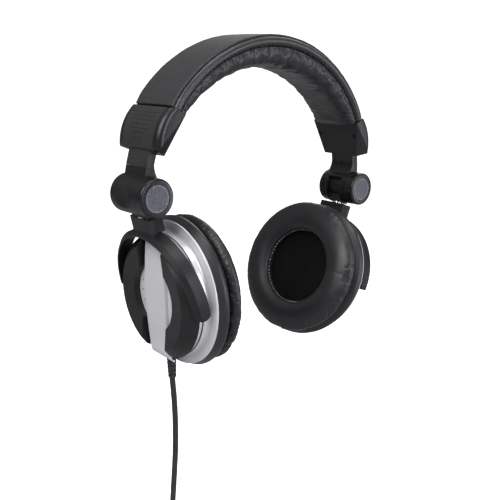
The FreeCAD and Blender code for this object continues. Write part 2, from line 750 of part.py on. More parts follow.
# ---------------------------------------------------------------- ear cup
def seat_cup(shape, tilt):
    """Move a piece from the cup's frame to its place at rest."""
    placed = shape.copy()
    placed.rotate(ORIGIN, Y_AXIS, tilt)
    placed.translate(tilt_centre())
    return turned_in(placed)


def outer_cover():
    """Black cover: two C-shaped plates on a common floor, with a channel between."""
    plates = turned([(FLOOR_BACK, 0), (FLOOR_BACK, 39.6), (3.4, 37.2), (7.1, 32.6), (5.7, WINDOW_R),
                     (FLOOR_TOP, WINDOW_R), (FLOOR_TOP, 0)])
    channel = box(FLOOR_TOP, 20, -CHANNEL_HALF_WIDTH, CHANNEL_HALF_WIDTH, -50, 50)
    pocket = turned([(FLOOR_BACK - 1, 24.0), (FLOOR_BACK - 1, 33.5), (3.4, 32.6), (3.4, 24.0)])
    wall = CHANNEL_HALF_WIDTH + 2.2
    pocket = pocket.cut(box(-5, 10, -wall, wall, -50, 50))
    pins = V(0, 50, 0)
    return plates.cut(channel).cut(pocket).cut(rod(PIVOT_PIN_R + FIXED_GAP, pins * -1, pins))


def trim():
    """Silver bar and perforated disc, one moulding."""
    base = FLOOR_TOP + RUN_GAP
    bar = slab([(base, 37.4), (1.6, 37.4), BAR_CROWN_END, ((BAR_CROWN, 0), (BAR_CROWN_END[0], -BAR_CROWN_END[1])),
                ((1.8, -37.9), (-1.6, -41.3)), (-1.6, -39.95), (base, -39.05)],
               -BAR_HALF_WIDTH, BAR_HALF_WIDTH)
    disc = turned([(base, 0), (base, WINDOW_R - 0.2), (DISC_TOP, WINDOW_R - 0.2), (DISC_TOP, 0)])
    holes = []
    for angle in HOLE_ANGLES:
        for side in (0, 180):
            turn = math.radians(angle + side)
            place = V(-3, HOLE_RING_R * math.cos(turn), HOLE_RING_R * math.sin(turn))
            holes.append(rod(HOLE_R, place, place + X_AXIS * 10))
    bar = bar.cut(bar_bevel(1)).cut(bar_bevel(-1))
    return fused([bar, disc.cut(group(holes))])


def bar_bevel(side):
    """Waste above a bevel along one edge of the bar, turned about the centre of the bar's crown."""
    rise = BAR_CROWN - BAR_CROWN_END[0]
    radius = (BAR_CROWN_END[1] ** 2 + rise ** 2) / (2 * rise)
    wall = side * BAR_HALF_WIDTH
    reach = side * (BAR_BEVEL + 0.5)
    corners = [V(BAR_CROWN - BAR_BEVEL - 0.5, wall + side * 0.5, 0), V(BAR_CROWN + 0.5, wall - reach, 0),
               V(BAR_CROWN + 0.5, wall + side * 0.5, 0)]
    waste = Part.Face(Part.makePolygon(corners + corners[:1]))
    centre = V(BAR_CROWN - radius, 0, 0)
    waste.rotate(centre, Y_AXIS, -10)
    return waste.revolve(centre, Y_AXIS, 20)


def cup_screw_places():
    """Axes of the four screws that hold the baffle."""
    places = []
    for angle in (45, 135, 225, 315):
        turn = math.radians(angle)
        places.append(V(0, CUP_SCREW_RING * math.cos(turn), CUP_SCREW_RING * math.sin(turn)))
    return places


def cup_shell(with_cable):
    """Silver stepped shell with its bright flange and the screw bosses inside."""
    shell = turned([(FLOOR_BACK - FIT_GAP, SHELL_BORE_R), (FLOOR_BACK - FIT_GAP, SHELL_R), (-3.9, SHELL_R),
                    (-4.1, SHELL_R - 0.5), (-4.5, SHELL_R - 0.5), (-4.7, SHELL_R + 0.6),
                    (-7.1, SHELL_R + 0.8), ((-8.1, 39.9), (-8.7, 41.6)), (-9.2, FLANGE_R - 1.6),
                    ((-9.35, FLANGE_R - 0.5), (-9.7, FLANGE_R)), (FLANGE_BACK, FLANGE_R),
                    (FLANGE_BACK, BAFFLE_R - 0.2), (SHELL_BACK, BAFFLE_R - 0.2), (SHELL_BACK, 41.0),
                    (-8.6, 36.5), (-8.6, 29.8), (-6.8, 29.8), (-6.8, SHELL_BORE_R)])
    bosses = [rod(SCREW_BOSS_R, place + X_AXIS * SHELL_BACK, place + X_AXIS * -7)
              for place in cup_screw_places()]
    shell = fused([shell] + bosses)
    for place in cup_screw_places():
        shell = shell.cut(rod(SCREW_PILOT_R, place + X_AXIS * -12, place + X_AXIS * -7.2))
    reach = V(0, PIVOT_PIN_END, 0)
    shell = shell.cut(rod(PIVOT_PIN_R + FIXED_GAP, reach * -1, reach))
    if with_cable:
        flange = relief_rod(RELIEF_FLANGE_R + FIXED_GAP, RELIEF_TOP + 3, RELIEF_TOP - 1 - FIXED_GAP)
        neck = relief_rod(RELIEF_NECK_R + FIXED_GAP, RELIEF_TOP, RELIEF_SHOULDER)
        shell = shell.cut(flange).cut(neck).cut(relief_rod(RELIEF_RIB_R + 0.25, -SHELL_R - 0.1, -50))
    return shell


def baffle():
    """Plate that carries the speaker driver."""
    front = SHELL_BACK - FIT_GAP
    plate = turned([(-13.0, 21.0), (-13.0, BAFFLE_R), (front, BAFFLE_R), (front, 21.0)])
    for place in cup_screw_places():
        plate = plate.cut(rod(SCREW_BOSS_R - 1.7, place + X_AXIS * -14, place + X_AXIS * -10))
    return plate


def cup_screws():
    """Four screws through the baffle into the shell."""
    screws = []
    for place in cup_screw_places():
        head = rod(SCREW_HEAD_R, place + X_AXIS * -14.1, place + X_AXIS * -13.05)
        shank = rod(SCREW_SHANK_R, place + X_AXIS * -13.1, place + X_AXIS * -7.3)
        screws.append(head.fuse(shank))
    return group(screws)


def driver():
    """Speaker driver: flange, basket and magnet."""
    return turned([(-14.6, 0), (-14.6, 24.5), (-13.05, 24.5), (-13.05, 20.6), (-9.4, 20.6), (-9.4, 13.0),
                   (-3.0, 13.0), (-3.0, 0)])


def diaphragm():
    """Thin domed diaphragm on the driver."""
    return turned([(-14.7, 0), (-14.7, 23.0), (-14.9, 23.0), ((-16.0, 17.0), (-14.95, 11.0)),
                   ((-16.4, 6.0), (-16.85, 1.0)), (-16.85, 0)])


def pad_ring():
    """Ring that carries the ear cushion, with a rounded skirt."""
    back = PAD_SEAM + SEAT_GAP
    front = FLANGE_BACK - FIT_GAP
    return turned([(front, BAFFLE_R + SEAT_GAP), (front, 45.8), ((-14.3, 48.2), (-17.4, 46.6)),
                   (back, PAD_SEAM_R), (back, RING_BORE_R), (-13.1, RING_BORE_R),
                   (-13.1, BAFFLE_R + SEAT_GAP)])


def ear_cushion():
    """Soft ring that rests round the ear."""
    back = PAD_SEAM - SEAT_GAP
    return turned([(back, 27.2), (back, PAD_SEAM_R), ((-21.9, 45.0), (-24.6, 46.7)),
                   ((-28.3, 44.6), (-30.3, 40.4)), ((-31.4, 34.5), (-29.4, 27.6)),
                   ((-28.4, 26.2), (-26.9, 26.0))])


def pad_cloth():
    """Cloth screen over the driver."""
    return turned([(-20.4, 0), (-20.4, CLOTH_R), (-19.6, CLOTH_R), (-19.6, 0)])


def pivot_pins():
    """Two pins on the tilt axis, fixed in the cover and turning in the yoke."""
    return group([rod(PIVOT_PIN_R, V(0, side * PIVOT_PIN_START, 0), V(0, side * PIVOT_PIN_END, 0))
                  for side in (-1, 1)])


# ---------------------------------------------------------------- cable
def relief_rod(radius, start, end):
    """Cylinder on the cable's axis in the cup's frame."""
    return rod(radius, V(RELIEF_N, 0, start), V(RELIEF_N, 0, end))


def cable_strain_relief():
    """Ribbed sleeve where the cable leaves the cup."""
    core = Part.makeCone(1.95, 2.35, RELIEF_SHOULDER - RELIEF_END, V(RELIEF_N, 0, RELIEF_END), Z_AXIS)
    neck = relief_rod(RELIEF_NECK_R, RELIEF_TOP, RELIEF_SHOULDER)
    flange = relief_rod(RELIEF_FLANGE_R, RELIEF_TOP, RELIEF_TOP - 1.0)
    pitch = (RELIEF_SHOULDER - RELIEF_END) / RELIEF_RIBS
    ribs = []
    for index in range(RELIEF_RIBS):
        top = RELIEF_SHOULDER - pitch * index
        ribs.append(relief_rod(RELIEF_RIB_R - RELIEF_RIB_STEP * index, top, top - pitch * 0.58))
    return fused([core, neck, flange] + ribs)


def cable_start():
    """Point under the strain relief that the cable hangs from."""
    return seat_cup(Part.Vertex(V(RELIEF_N, 0, RELIEF_END - CABLE_PIVOT_DROP)), LEFT_TILT).Point


def cable():
    """Cable from the strain relief to the plug, with a round upper end, bending to the vertical."""
    start = cable_start()
    lean = math.radians(CABLE_BEND_ANGLE)
    side_run = CABLE_BEND_R * (1 - math.cos(lean))
    drop = CABLE_BEND_R * math.sin(lean)
    last = start - V(side_run, 0, drop)
    half = lean / 2
    mid = last + V(CABLE_BEND_R * (1 - math.cos(half)), 0, CABLE_BEND_R * math.sin(half))
    bend = Part.Arc(start, mid, last).toShape()
    tail = Part.makeLine(last, V(last.x, last.y, PLUG_TOP_Z + RUN_GAP))
    top = start + V(math.sin(lean), 0, math.cos(lean)) * CABLE_R
    whole = cord(Part.Wire([Part.makeLine(top, start), bend, tail]), CABLE_R)
    rim = max(whole.Edges, key=lambda edge: edge.BoundBox.ZMin)
    return whole.makeFillet(CABLE_R - 0.1, [rim]), V(last.x, last.y, 0)


def plug_grip():
    """Sleeve of the plug with a tapered tail, on the Z axis."""
    base = PLUG_TOP_Z - PLUG_GRIP_LENGTH
    body = rod(PLUG_GRIP_R, V(0, 0, base), V(0, 0, base + PLUG_BODY_LENGTH))
    tail = Part.makeCone(PLUG_GRIP_R, PLUG_NECK_R, PLUG_TAPER, V(0, 0, base + PLUG_BODY_LENGTH), Z_AXIS)
    collar = rod(PLUG_NECK_R, V(0, 0, base + PLUG_BODY_LENGTH + PLUG_TAPER), V(0, 0, PLUG_TOP_Z))
    grooves = []
    for height in (4, 6, 8, 10, 12):
        ring = rod(PLUG_GRIP_R + 1, V(0, 0, base + height), V(0, 0, base + height + 0.7))
        grooves.append(ring.cut(rod(PLUG_GRIP_R - 0.5, V(0, 0, base), V(0, 0, PLUG_TOP_Z))))
    return fused([body, tail, collar]).cut(group(grooves))


def plug_contact():
    """Quarter-inch jack on the Z axis: sleeve, ring and tip."""
    top = PLUG_TOP_Z - PLUG_GRIP_LENGTH - RUN_GAP
    end = top - JACK_LENGTH
    pin = sheet([(0, top), (JACK_R, top), (JACK_R, top - JACK_SLEEVE), (2.4, top - JACK_SLEEVE - 0.4),
                 (2.4, top - JACK_SLEEVE - 1.0), (JACK_R, top - JACK_SLEEVE - 1.4),
                 (JACK_R, top - 24.2), (2.4, top - 24.6), (2.4, top - 25.2), (JACK_R, top - 25.6),
                 (JACK_R, top - 26.8), (2.3, top - 27.6), (2.9, top - 28.6), (1.2, end), (0, end)])
    return pin.revolve(ORIGIN, Z_AXIS, 360)


# ---------------------------------------------------------------- assembly
def slider_side():
    """Pieces that move with the size adjuster."""
    return {
        "slider_rail": slider_rail(),
        "slider_arm": slider_arm(),
        "slider_back": slider_back(),
        "slider_screw": slider_screw(),
        "hinge_barrel": hinge_barrel(),
        "hinge_end_cap": hinge_end_cap(),
        "hinge_badge": hinge_badge(),
        "hinge_pin": hinge_rod(HINGE_PIN_R, -BARREL_HALF_LENGTH, HINGE_PIN_END),
        "hinge_knuckle": hinge_knuckle(),
        "swivel_pin": swivel_pin(),
        "yoke": yoke(),
        "yoke_back": yoke_back(),
    }


def cup_side(tilt, with_cable):
    """Pieces of one ear cup."""
    pieces = {
        "outer_cover": outer_cover(),
        "trim": trim(),
        "cup_shell": cup_shell(with_cable),
        "baffle": baffle(),
        "cup_screws": cup_screws(),
        "driver": driver(),
        "diaphragm": diaphragm(),
        "pad_ring": pad_ring(),
        "ear_cushion": ear_cushion(),
        "pad_cloth": pad_cloth(),
        "pivot_pins": pivot_pins(),
    }
    return {name: seat_cup(shape, tilt) for name, shape in pieces.items()}


def all_parts():
    """Every named piece at rest."""
    cap_outer, cap_inner = cap_parts()
    parts = {
        "spring_band": spring_band(),
        "headband_cover": headband_cover(),
        "headband_cushion": headband_cushion(),
        "headband_piping": headband_piping(),
        "headband_wire": headband_wire(),
        "right_cap_outer": cap_outer,
        "right_cap_inner": cap_inner,
        "left_cap_outer": mirrored(cap_outer),
        "left_cap_inner": mirrored(cap_inner),
        "cap_screws": cap_screws(),
    }
    for name, shape in slider_side().items():
        parts["right_" + name] = shape
        parts["left_" + name] = mirrored(shape)
    for name, shape in cup_side(RIGHT_TILT, False).items():
        parts["right_" + name] = shape
    for name, shape in cup_side(LEFT_TILT, True).items():
        parts["left_" + name] = mirrored(shape)
    cord_shape, plug_place = cable()
    parts["cable_strain_relief"] = mirrored(seat_cup(cable_strain_relief(), LEFT_TILT))
    parts["cable"] = mirrored(cord_shape)
    parts["plug_grip"] = mirrored(plug_grip().translated(plug_place))
    parts["plug_contact"] = mirrored(plug_contact().translated(plug_place))
    return parts


os.makedirs("parts", exist_ok=True)
for node, solid in all_parts().items():
    solid.exportStep("parts/" + node + ".step")
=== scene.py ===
import json
import math

import bmesh
import bpy
import numpy as np
from mathutils import Matrix, Vector


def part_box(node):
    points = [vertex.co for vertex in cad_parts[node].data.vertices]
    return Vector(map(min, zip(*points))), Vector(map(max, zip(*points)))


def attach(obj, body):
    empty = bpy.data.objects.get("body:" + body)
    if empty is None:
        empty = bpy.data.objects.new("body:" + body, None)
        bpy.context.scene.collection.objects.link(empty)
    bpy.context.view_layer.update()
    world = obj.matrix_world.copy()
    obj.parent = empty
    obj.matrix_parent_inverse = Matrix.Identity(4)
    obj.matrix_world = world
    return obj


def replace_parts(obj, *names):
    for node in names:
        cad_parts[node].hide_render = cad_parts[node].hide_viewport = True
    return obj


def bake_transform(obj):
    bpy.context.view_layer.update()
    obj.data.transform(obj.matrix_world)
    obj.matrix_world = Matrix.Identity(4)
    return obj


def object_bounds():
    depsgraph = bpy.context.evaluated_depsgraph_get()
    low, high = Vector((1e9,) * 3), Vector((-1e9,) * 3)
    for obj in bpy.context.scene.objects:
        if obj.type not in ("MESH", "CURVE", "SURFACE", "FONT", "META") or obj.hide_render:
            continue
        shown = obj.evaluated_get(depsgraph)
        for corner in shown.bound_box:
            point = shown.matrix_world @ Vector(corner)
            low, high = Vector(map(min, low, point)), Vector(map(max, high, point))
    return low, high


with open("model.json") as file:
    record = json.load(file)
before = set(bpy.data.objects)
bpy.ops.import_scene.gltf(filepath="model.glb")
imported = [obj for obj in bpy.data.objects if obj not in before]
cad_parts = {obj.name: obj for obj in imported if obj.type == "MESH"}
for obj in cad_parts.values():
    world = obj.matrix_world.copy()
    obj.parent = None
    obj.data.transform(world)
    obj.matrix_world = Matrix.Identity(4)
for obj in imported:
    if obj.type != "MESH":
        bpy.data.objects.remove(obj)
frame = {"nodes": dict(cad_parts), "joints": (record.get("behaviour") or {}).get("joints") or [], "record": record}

cad_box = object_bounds()
SIDES = ("right", "left")
MM = 0.001

# ---------------------------------------------------------------- sizes shared with the CAD (mm)
CROWN_TOP, CROWN_R, CROWN_TURN = 20.4, 100.0, 51.0
SHOULDER_R = 48.0
CAP_TOP_INNER, CAP_TOP_OUTER = (76.2, -31.8), (84.4, -26.8)
PAD_TOP_DEPTH = 7.4
PAD_CROWN_R, PAD_CROWN_TURN, PAD_FLANK_R = 93.0, 35.0, 112.0
TILT = {"right": 16.0, "left": 7.0}
STEM_LEAN, REST_SWIVEL = 18.5, 3.5
PAD_SEAM, PAD_MIDDLE, PUCKER_ANGLE = -20.5, (-26.3, 36.5), 215.0
CABLE_R, CABLE_BEND_R, CABLE_BEND_TURN = 1.9, 330.0, 10.5
PIPING_Y, PIPING_DEPTH, PIPING_R = 17.35, 4.3, 2.62
BAND_SEAM_Y, BAND_SEAM_DEPTH = 18.35, 7.0
BAND_MEAN_R = 88.0
CLOTH_R, CLOTH_FRAME_R, CLOTH_FRONT, CLOTH_BACK = 39.6, 40.0, -20.35, -19.65
joints = {j["name"]: j for j in frame["joints"]}


# ---------------------------------------------------------------- noise and grids
LATTICE = 512
HALVINGS = 30


def value_noise(u, v, seed, wrap=0):
    """Smooth noise from -1 to 1 on a random lattice; u repeats every `wrap` cells if wrap is set."""
    table = np.random.RandomState(seed).uniform(-1, 1, (LATTICE, LATTICE))
    u0, v0 = np.floor(u).astype(int), np.floor(v).astype(int)
    fu, fv = u - u0, v - v0
    fu, fv = fu * fu * fu * (fu * (fu * 6 - 15) + 10), fv * fv * fv * (fv * (fv * 6 - 15) + 10)
    period = wrap or LATTICE
    a, b = u0 % period, (u0 + 1) % period
    c, d = v0 % LATTICE, (v0 + 1) % LATTICE
    low = table[a, c] * (1 - fu) + table[b, c] * fu
    high = table[a, d] * (1 - fu) + table[b, d] * fu
    return low * (1 - fv) + high * fv


def creases(field, width):
    """Rounded ridges with sharp valleys where the field crosses zero."""
    return np.minimum(np.abs(field) / width, 1.0) ** 0.7


def resample(points, count, closed=False):
    """Catmull-Rom curve through control points, evenly spaced along its length."""
    pts = np.array(points, float)
    if closed:
        pts = np.vstack([pts[-1], pts, pts[0], pts[1]])
    else:
        pts = np.vstack([2 * pts[0] - pts[1], pts, 2 * pts[-1] - pts[-2]])
    dense = []
    for p0, p1, p2, p3 in zip(pts, pts[1:], pts[2:], pts[3:]):
        t = np.linspace(0, 1, 24, endpoint=False)[:, None]
        dense.append(0.5 * (2 * p1 + (p2 - p0) * t + (2 * p0 - 5 * p1 + 4 * p2 - p3) * t ** 2
                            + (3 * p1 - p0 - 3 * p2 + p3) * t ** 3))
    dense = np.vstack(dense + [pts[-2][None]])
    length = np.concatenate([[0], np.cumsum(np.linalg.norm(np.diff(dense, axis=0), axis=1))])
    where = np.linspace(0, length[-1], count, endpoint=not closed)
    return np.stack([np.interp(where, length, dense[:, k]) for k in range(pts.shape[1])], axis=1)


def grid_normals(points, wrap_u, wrap_v):
    """Unit normals of a point grid."""
    def slope(axis, wrap):
        if wrap:
            return np.roll(points, -1, axis) - np.roll(points, 1, axis)
        return np.gradient(points, axis=axis)
    cross = np.cross(slope(0, wrap_u), slope(1, wrap_v))
    return cross / np.maximum(np.linalg.norm(cross, axis=2, keepdims=True), 1e-12)


def smooth_object(name, mesh):
    """Object in the scene from a mesh, shaded smooth."""
    mesh.shade_smooth()
    made = bpy.data.objects.new(name, mesh)
    bpy.context.scene.collection.objects.link(made)
    return made


def run_normals(points):
    """Unit normals of a closed section carried along a run, away from the middle of each section."""
    normal = grid_normals(points, False, True)
    middle = points.mean(axis=1, keepdims=True)
    return np.sign((normal * (points - middle)).sum(axis=2)).mean() * normal


def grid_object(name, points, wrap_u=False, wrap_v=False, close_ends=False):
    """Smooth mesh object from a grid of points in mm; the second direction runs round a section."""
    nu, nv = points.shape[:2]
    rows = np.arange(nu if wrap_u else nu - 1)
    cols = np.arange(nv if wrap_v else nv - 1)
    i, j = np.meshgrid(rows, cols, indexing="ij")
    i2, j2 = (i + 1) % nu, (j + 1) % nv
    faces = np.stack([i * nv + j, i2 * nv + j, i2 * nv + j2, i * nv + j2], axis=-1).reshape(-1, 4).tolist()
    verts = (points.reshape(-1, 3) * MM).tolist()
    if close_ends:
        for row in (0, nu - 1):
            centre = len(verts)
            verts.append((points[row].mean(axis=0) * MM).tolist())
            faces += [[row * nv + k, row * nv + (k + 1) % nv, centre] for k in range(nv)]
    mesh = bpy.data.meshes.new(name)
    mesh.from_pydata(verts, [], faces)
    bm = bmesh.new()
    bm.from_mesh(mesh)
    bmesh.ops.recalc_face_normals(bm, faces=bm.faces)
    bm.to_mesh(mesh)
    bm.free()
    return smooth_object(name, mesh)


def pills(name, centres, directions, length, radius):
    """Short rounded stitches in one mesh."""
    bm = bmesh.new()
    for centre, direction in zip(centres, directions):
        turn = Vector(direction).normalized().to_track_quat("Z", "Y").to_matrix().to_4x4()
        shape = Matrix.Translation(Vector(centre) * MM) @ turn @ Matrix.Diagonal(
            (radius * MM, radius * MM, length / 2 * MM, 1))
        bmesh.ops.create_uvsphere(bm, u_segments=8, v_segments=7, radius=1, matrix=shape)
    mesh = bpy.data.meshes.new(name)
    bm.to_mesh(mesh)
    bm.free()
    return smooth_object(name, mesh)


# ---------------------------------------------------------------- cloth
SIM_SCALE, SIM_FRAMES = 10.0, 20


def swell(points, held, slack, pressure, limit, wrap_u):
    """Cloth simulation of a closed skin: how far each grid point moves, in mm.

    The skin is cut larger than its form by `slack`, so it gathers where it is held, and pressure fills it."""
    model = grid_object("swelling_skin", points * SIM_SCALE, wrap_u=wrap_u, wrap_v=True,
                        close_ends=not wrap_u)
    count = points.shape[0] * points.shape[1]
    fixed = np.nonzero(np.broadcast_to(held, points.shape[:2]).ravel())[0].tolist()
    fixed += list(range(count, len(model.data.vertices)))
    model.vertex_groups.new(name="held").add(fixed, 1.0, "REPLACE")
    cloth = model.modifiers.new("cloth", "CLOTH")
    cloth.settings.quality = 6
    cloth.settings.mass = 0.2
    cloth.settings.tension_stiffness = cloth.settings.compression_stiffness = 20
    cloth.settings.bending_stiffness = 0.15
    cloth.settings.shrink_min = -slack
    cloth.settings.use_pressure = True
    cloth.settings.uniform_pressure_force = pressure
    cloth.settings.vertex_group_mass = "held"
    cloth.settings.effector_weights.gravity = 0
    cloth.collision_settings.use_collision = False
    cloth.point_cache.frame_start, cloth.point_cache.frame_end = 1, SIM_FRAMES
    for step in range(1, SIM_FRAMES + 1):
        bpy.context.scene.frame_set(step)
    settled = model.evaluated_get(bpy.context.evaluated_depsgraph_get())
    coords = np.empty(len(settled.data.vertices) * 3)
    settled.data.vertices.foreach_get("co", coords)
    moved = coords.reshape(-1, 3)[:count].reshape(points.shape) / MM / SIM_SCALE - points
    bpy.context.scene.frame_set(1)
    bpy.data.objects.remove(model)
    size = np.linalg.norm(moved, axis=2, keepdims=True)
    return moved * np.minimum(1.0, limit / np.maximum(size, 1e-9))


def puckers_only(field, window, wrap_u):
    """Field without its broad swelling: each column loses its running mean along the rows."""
    padded = np.concatenate([field[-window:], field, field[:window]]) if wrap_u else \
        np.pad(field, ((window, window), (0, 0)), mode="edge")
    total = np.cumsum(np.vstack([np.zeros((1, field.shape[1])), padded]), axis=0)
    mean = (total[2 * window + 1:] - total[:-2 * window - 1]) / (2 * window + 1)
    return field - mean


def refine(field, rows, columns, wrap_u):
    """Coarse grid field carried to a finer grid with cubic B-splines; columns always wrap."""
    def along(values, count, axis, wrap):
        size = values.shape[axis]
        place = np.arange(count) * (size / count if wrap else (size - 1) / (count - 1))
        base = np.floor(place).astype(int)
        t = place - base
        weights = ((1 - t) ** 3, 3 * t ** 3 - 6 * t ** 2 + 4, -3 * t ** 3 + 3 * t ** 2 + 3 * t + 1, t ** 3)
        total = 0
        for step, weight in enumerate(weights):
            index = base + step - 1
            index = index % size if wrap else np.clip(index, 0, size - 1)
            shape = [1] * values.ndim
            shape[axis] = count
            total = total + np.take(values, index, axis=axis) * (weight / 6).reshape(shape)
        return total
    return along(along(field, rows, 0, wrap_u), columns, 1, True)


# ---------------------------------------------------------------- materials
class Graph:
    """Small helper that builds a node material."""

    def __init__(self, name):
        self.material = bpy.data.materials.new(name)
        self.material.use_nodes = True
        self.tree = self.material.node_tree
        self.shader = self.tree.nodes["Principled BSDF"]
        coords = self.tree.nodes.new("ShaderNodeTexCoord")
        self.place = coords.outputs["Object"]

    @classmethod
    def reopen(cls, material):
        """Graph on a material that already has its nodes, to add to them."""
        g = cls.__new__(cls)
        g.material, g.tree = material, material.node_tree
        g.shader = g.tree.nodes["Principled BSDF"]
        g.place = g.tree.nodes["Texture Coordinate"].outputs["Object"]
        return g

    def add(self, kind, inputs=None, **settings):
        node = self.tree.nodes.new("ShaderNode" + kind)
        for key, value in settings.items():
            setattr(node, key, value)
        for key, value in (inputs or {}).items():
            if isinstance(value, bpy.types.NodeSocket):
                self.tree.links.new(value, node.inputs[key])
            else:
                node.inputs[key].default_value = value
        return node

    def noise(self, scale, detail=3.0, place=None, rough=0.5):
        node = self.add("TexNoise", {"Vector": place or self.place, "Scale": scale, "Detail": detail,
                                     "Roughness": rough})
        return node.outputs["Fac"]

    def ramp(self, value, low, high, out_low=0.0, out_high=1.0):
        node = self.add("MapRange", {"Value": value, "From Min": low, "From Max": high, "To Min": out_low,
                                     "To Max": out_high})
        return node.outputs["Result"]

    def math(self, operation, a, b=0.0):
        return self.add("Math", {0: a, 1: b}, operation=operation).outputs[0]

    def mix(self, factor, a, b):
        node = self.add("Mix", {"Factor": factor, "A": a, "B": b}, data_type="RGBA")
        return node.outputs["Result"]

    def bump(self, height, distance, strength=1.0, normal=None):
        inputs = {"Height": height, "Distance": distance, "Strength": strength}
        if normal is not None:
            inputs["Normal"] = normal
        return self.add("Bump", inputs).outputs["Normal"]

    def rounded_edges(self, radius):
        """Rounded normal and a mask that is 1 on sharp edges."""
        rounded = self.add("Bevel", {"Radius": radius}, samples=4).outputs["Normal"]
        plain = self.add("NewGeometry").outputs["Normal"]
        same = self.add("VectorMath", {0: rounded, 1: plain}, operation="DOT_PRODUCT").outputs["Value"]
        return rounded, self.ramp(same, 0.995, 0.80)

    def set(self, **values):
        names = {"color": "Base Color", "rough": "Roughness", "metal": "Metallic", "normal": "Normal",
                 "coat": "Coat Weight", "coat_rough": "Coat Roughness", "sheen": "Sheen Weight",
                 "specular": "Specular IOR Level", "sheen_rough": "Sheen Roughness"}
        for key, value in values.items():
            socket = self.shader.inputs[names[key]]
            if isinstance(value, bpy.types.NodeSocket):
                self.tree.links.new(value, socket)
            else:
                socket.default_value = value
        return self.material


def rgb(color, gain=1.0):
    return tuple(min(c * gain, 1.0) for c in color) + (1.0,)


def plastic(name, color, rough, grain=0.00002, grain_scale=2600.0, coat=0.0, edge=0.00025, rub_and_highlight_gain=1.7,
            specular=0.5):
    """Moulded plastic: fine spark texture, faint flow marks, smudges and lighter edges, partly wear and partly
    painted highlight.
    """
    g = Graph(name)
    rounded, mask = g.rounded_edges(edge)
    patches = g.noise(45.0, 4.0)
    base = g.mix(g.ramp(patches, 0.35, 0.65), rgb(color, 0.88), rgb(color, 1.12))
    # Lighter edges: partly wear, partly a painted highlight along the sharp edges.
    rub_and_highlight = g.math("MULTIPLY", mask, g.ramp(g.noise(420.0, 3.0), 0.35, 0.75, 0.25, 1.0))
    base = g.mix(rub_and_highlight, base, rgb(color, rub_and_highlight_gain))
    smudge = g.ramp(g.noise(110.0, 5.0, rough=0.65), 0.3, 0.7, rough - 0.05, rough + 0.06)
    texture = g.noise(grain_scale, 2.0)
    normal = g.bump(texture, grain, 1.0, rounded)
    return g.set(color=base, rough=smudge, normal=normal, coat=coat, coat_rough=0.12, specular=specular)


def leatherette(name, color, rough, cell=1500.0, depth=0.00004, sheen=0.15, coat=0.0, specular=0.5):
    """Coated fabric: pebbled grain with painted shade in its low valleys, fine pores, soft dull and shiny patches.
    """
    g = Graph(name)
    warp = g.add("TexNoise", {"Vector": g.place, "Scale": 420.0, "Detail": 2.0}).outputs["Color"]
    warp = g.add("VectorMath", {0: warp, 1: (0.0006, 0.0006, 0.0006)}, operation="MULTIPLY").outputs[0]
    bent = g.add("VectorMath", {0: g.place, 1: warp}, operation="ADD").outputs[0]
    cells = g.add("TexVoronoi", {"Vector": bent, "Scale": cell}, feature="SMOOTH_F1")
    pebble = cells.outputs["Distance"]
    pores = g.noise(5200.0, 1.0)
    height = g.math("ADD", g.math("MULTIPLY", pebble, -1.0), g.math("MULTIPLY", pores, 0.25))
    patches = g.noise(70.0, 5.0, rough=0.6)
    base = g.mix(g.ramp(patches, 0.3, 0.7), rgb(color, 0.85), rgb(color, 1.18))
    # Painted shade: the colour is darker in the low valleys between the pebbles.
    base = g.mix(g.ramp(pebble, 0.2, 0.75), base, rgb(color, 0.6))
    dull = g.math("ADD", g.ramp(patches, 0.3, 0.7, rough - 0.05, rough + 0.07),
                  g.ramp(pebble, 0.2, 0.8, 0.0, 0.08))
    normal = g.bump(height, depth, 1.0)
    return g.set(color=base, rough=dull, normal=normal, sheen=sheen, sheen_rough=0.4, coat=coat,
                 coat_rough=0.3, specular=specular)


def paint(name, color, rough, metal, edge=0.0003, hollow_shade=1.0):
    """Metallic paint: sparkle flakes, faint orange peel, brighter edges (partly wear, partly painted highlight)
    and painted shade in the hollows.
    """
    g = Graph(name)
    rounded, mask = g.rounded_edges(edge) if edge else (None, 0.0)
    flakes = g.add("TexVoronoi", {"Vector": g.place, "Scale": 5200.0}).outputs["Color"]
    spark = g.add("SeparateColor", {"Color": flakes}).outputs[0]
    base = g.mix(g.ramp(spark, 0.0, 1.0), rgb(color, 0.93), rgb(color, 1.06))
    # Brighter edges: partly wear, partly a painted highlight along the sharp edges.
    base = g.mix(g.math("MULTIPLY", mask, 0.6), base, rgb(color, 1.25))
    # Painted shade: hollows and grooves found by ambient occlusion are darkened.
    if hollow_shade < 1.0:
        open_sky = g.add("AmbientOcclusion", {"Distance": 0.004}, samples=8, only_local=True).outputs["AO"]
        base = g.mix(g.ramp(open_sky, 0.45, 0.92), rgb(color, hollow_shade), base)
    normal = g.bump(g.noise(700.0, 2.0), 0.000002, 0.6, rounded)
    hazy = g.ramp(g.noise(90.0, 4.0), 0.3, 0.7, rough - 0.03, rough + 0.05)
    return g.set(color=base, rough=hazy, metal=metal, normal=normal)


def metal(name, color, rough, stretch=(1.0, 1.0, 30.0)):
    """Turned or drawn metal with fine lines."""
    g = Graph(name)
    lines = g.add("VectorMath", {0: g.place, 1: stretch}, operation="MULTIPLY").outputs[0]
    streak = g.noise(900.0, 3.0, lines)
    rounded = g.rounded_edges(0.0002)[0]
    base = g.mix(g.ramp(streak, 0.3, 0.7), rgb(color, 0.85), rgb(color, 1.1))
    spread = g.ramp(streak, 0.3, 0.7, rough - 0.06, rough + 0.1)
    return g.set(color=base, rough=spread, metal=1.0, normal=g.bump(streak, 0.000015, 0.7, rounded))


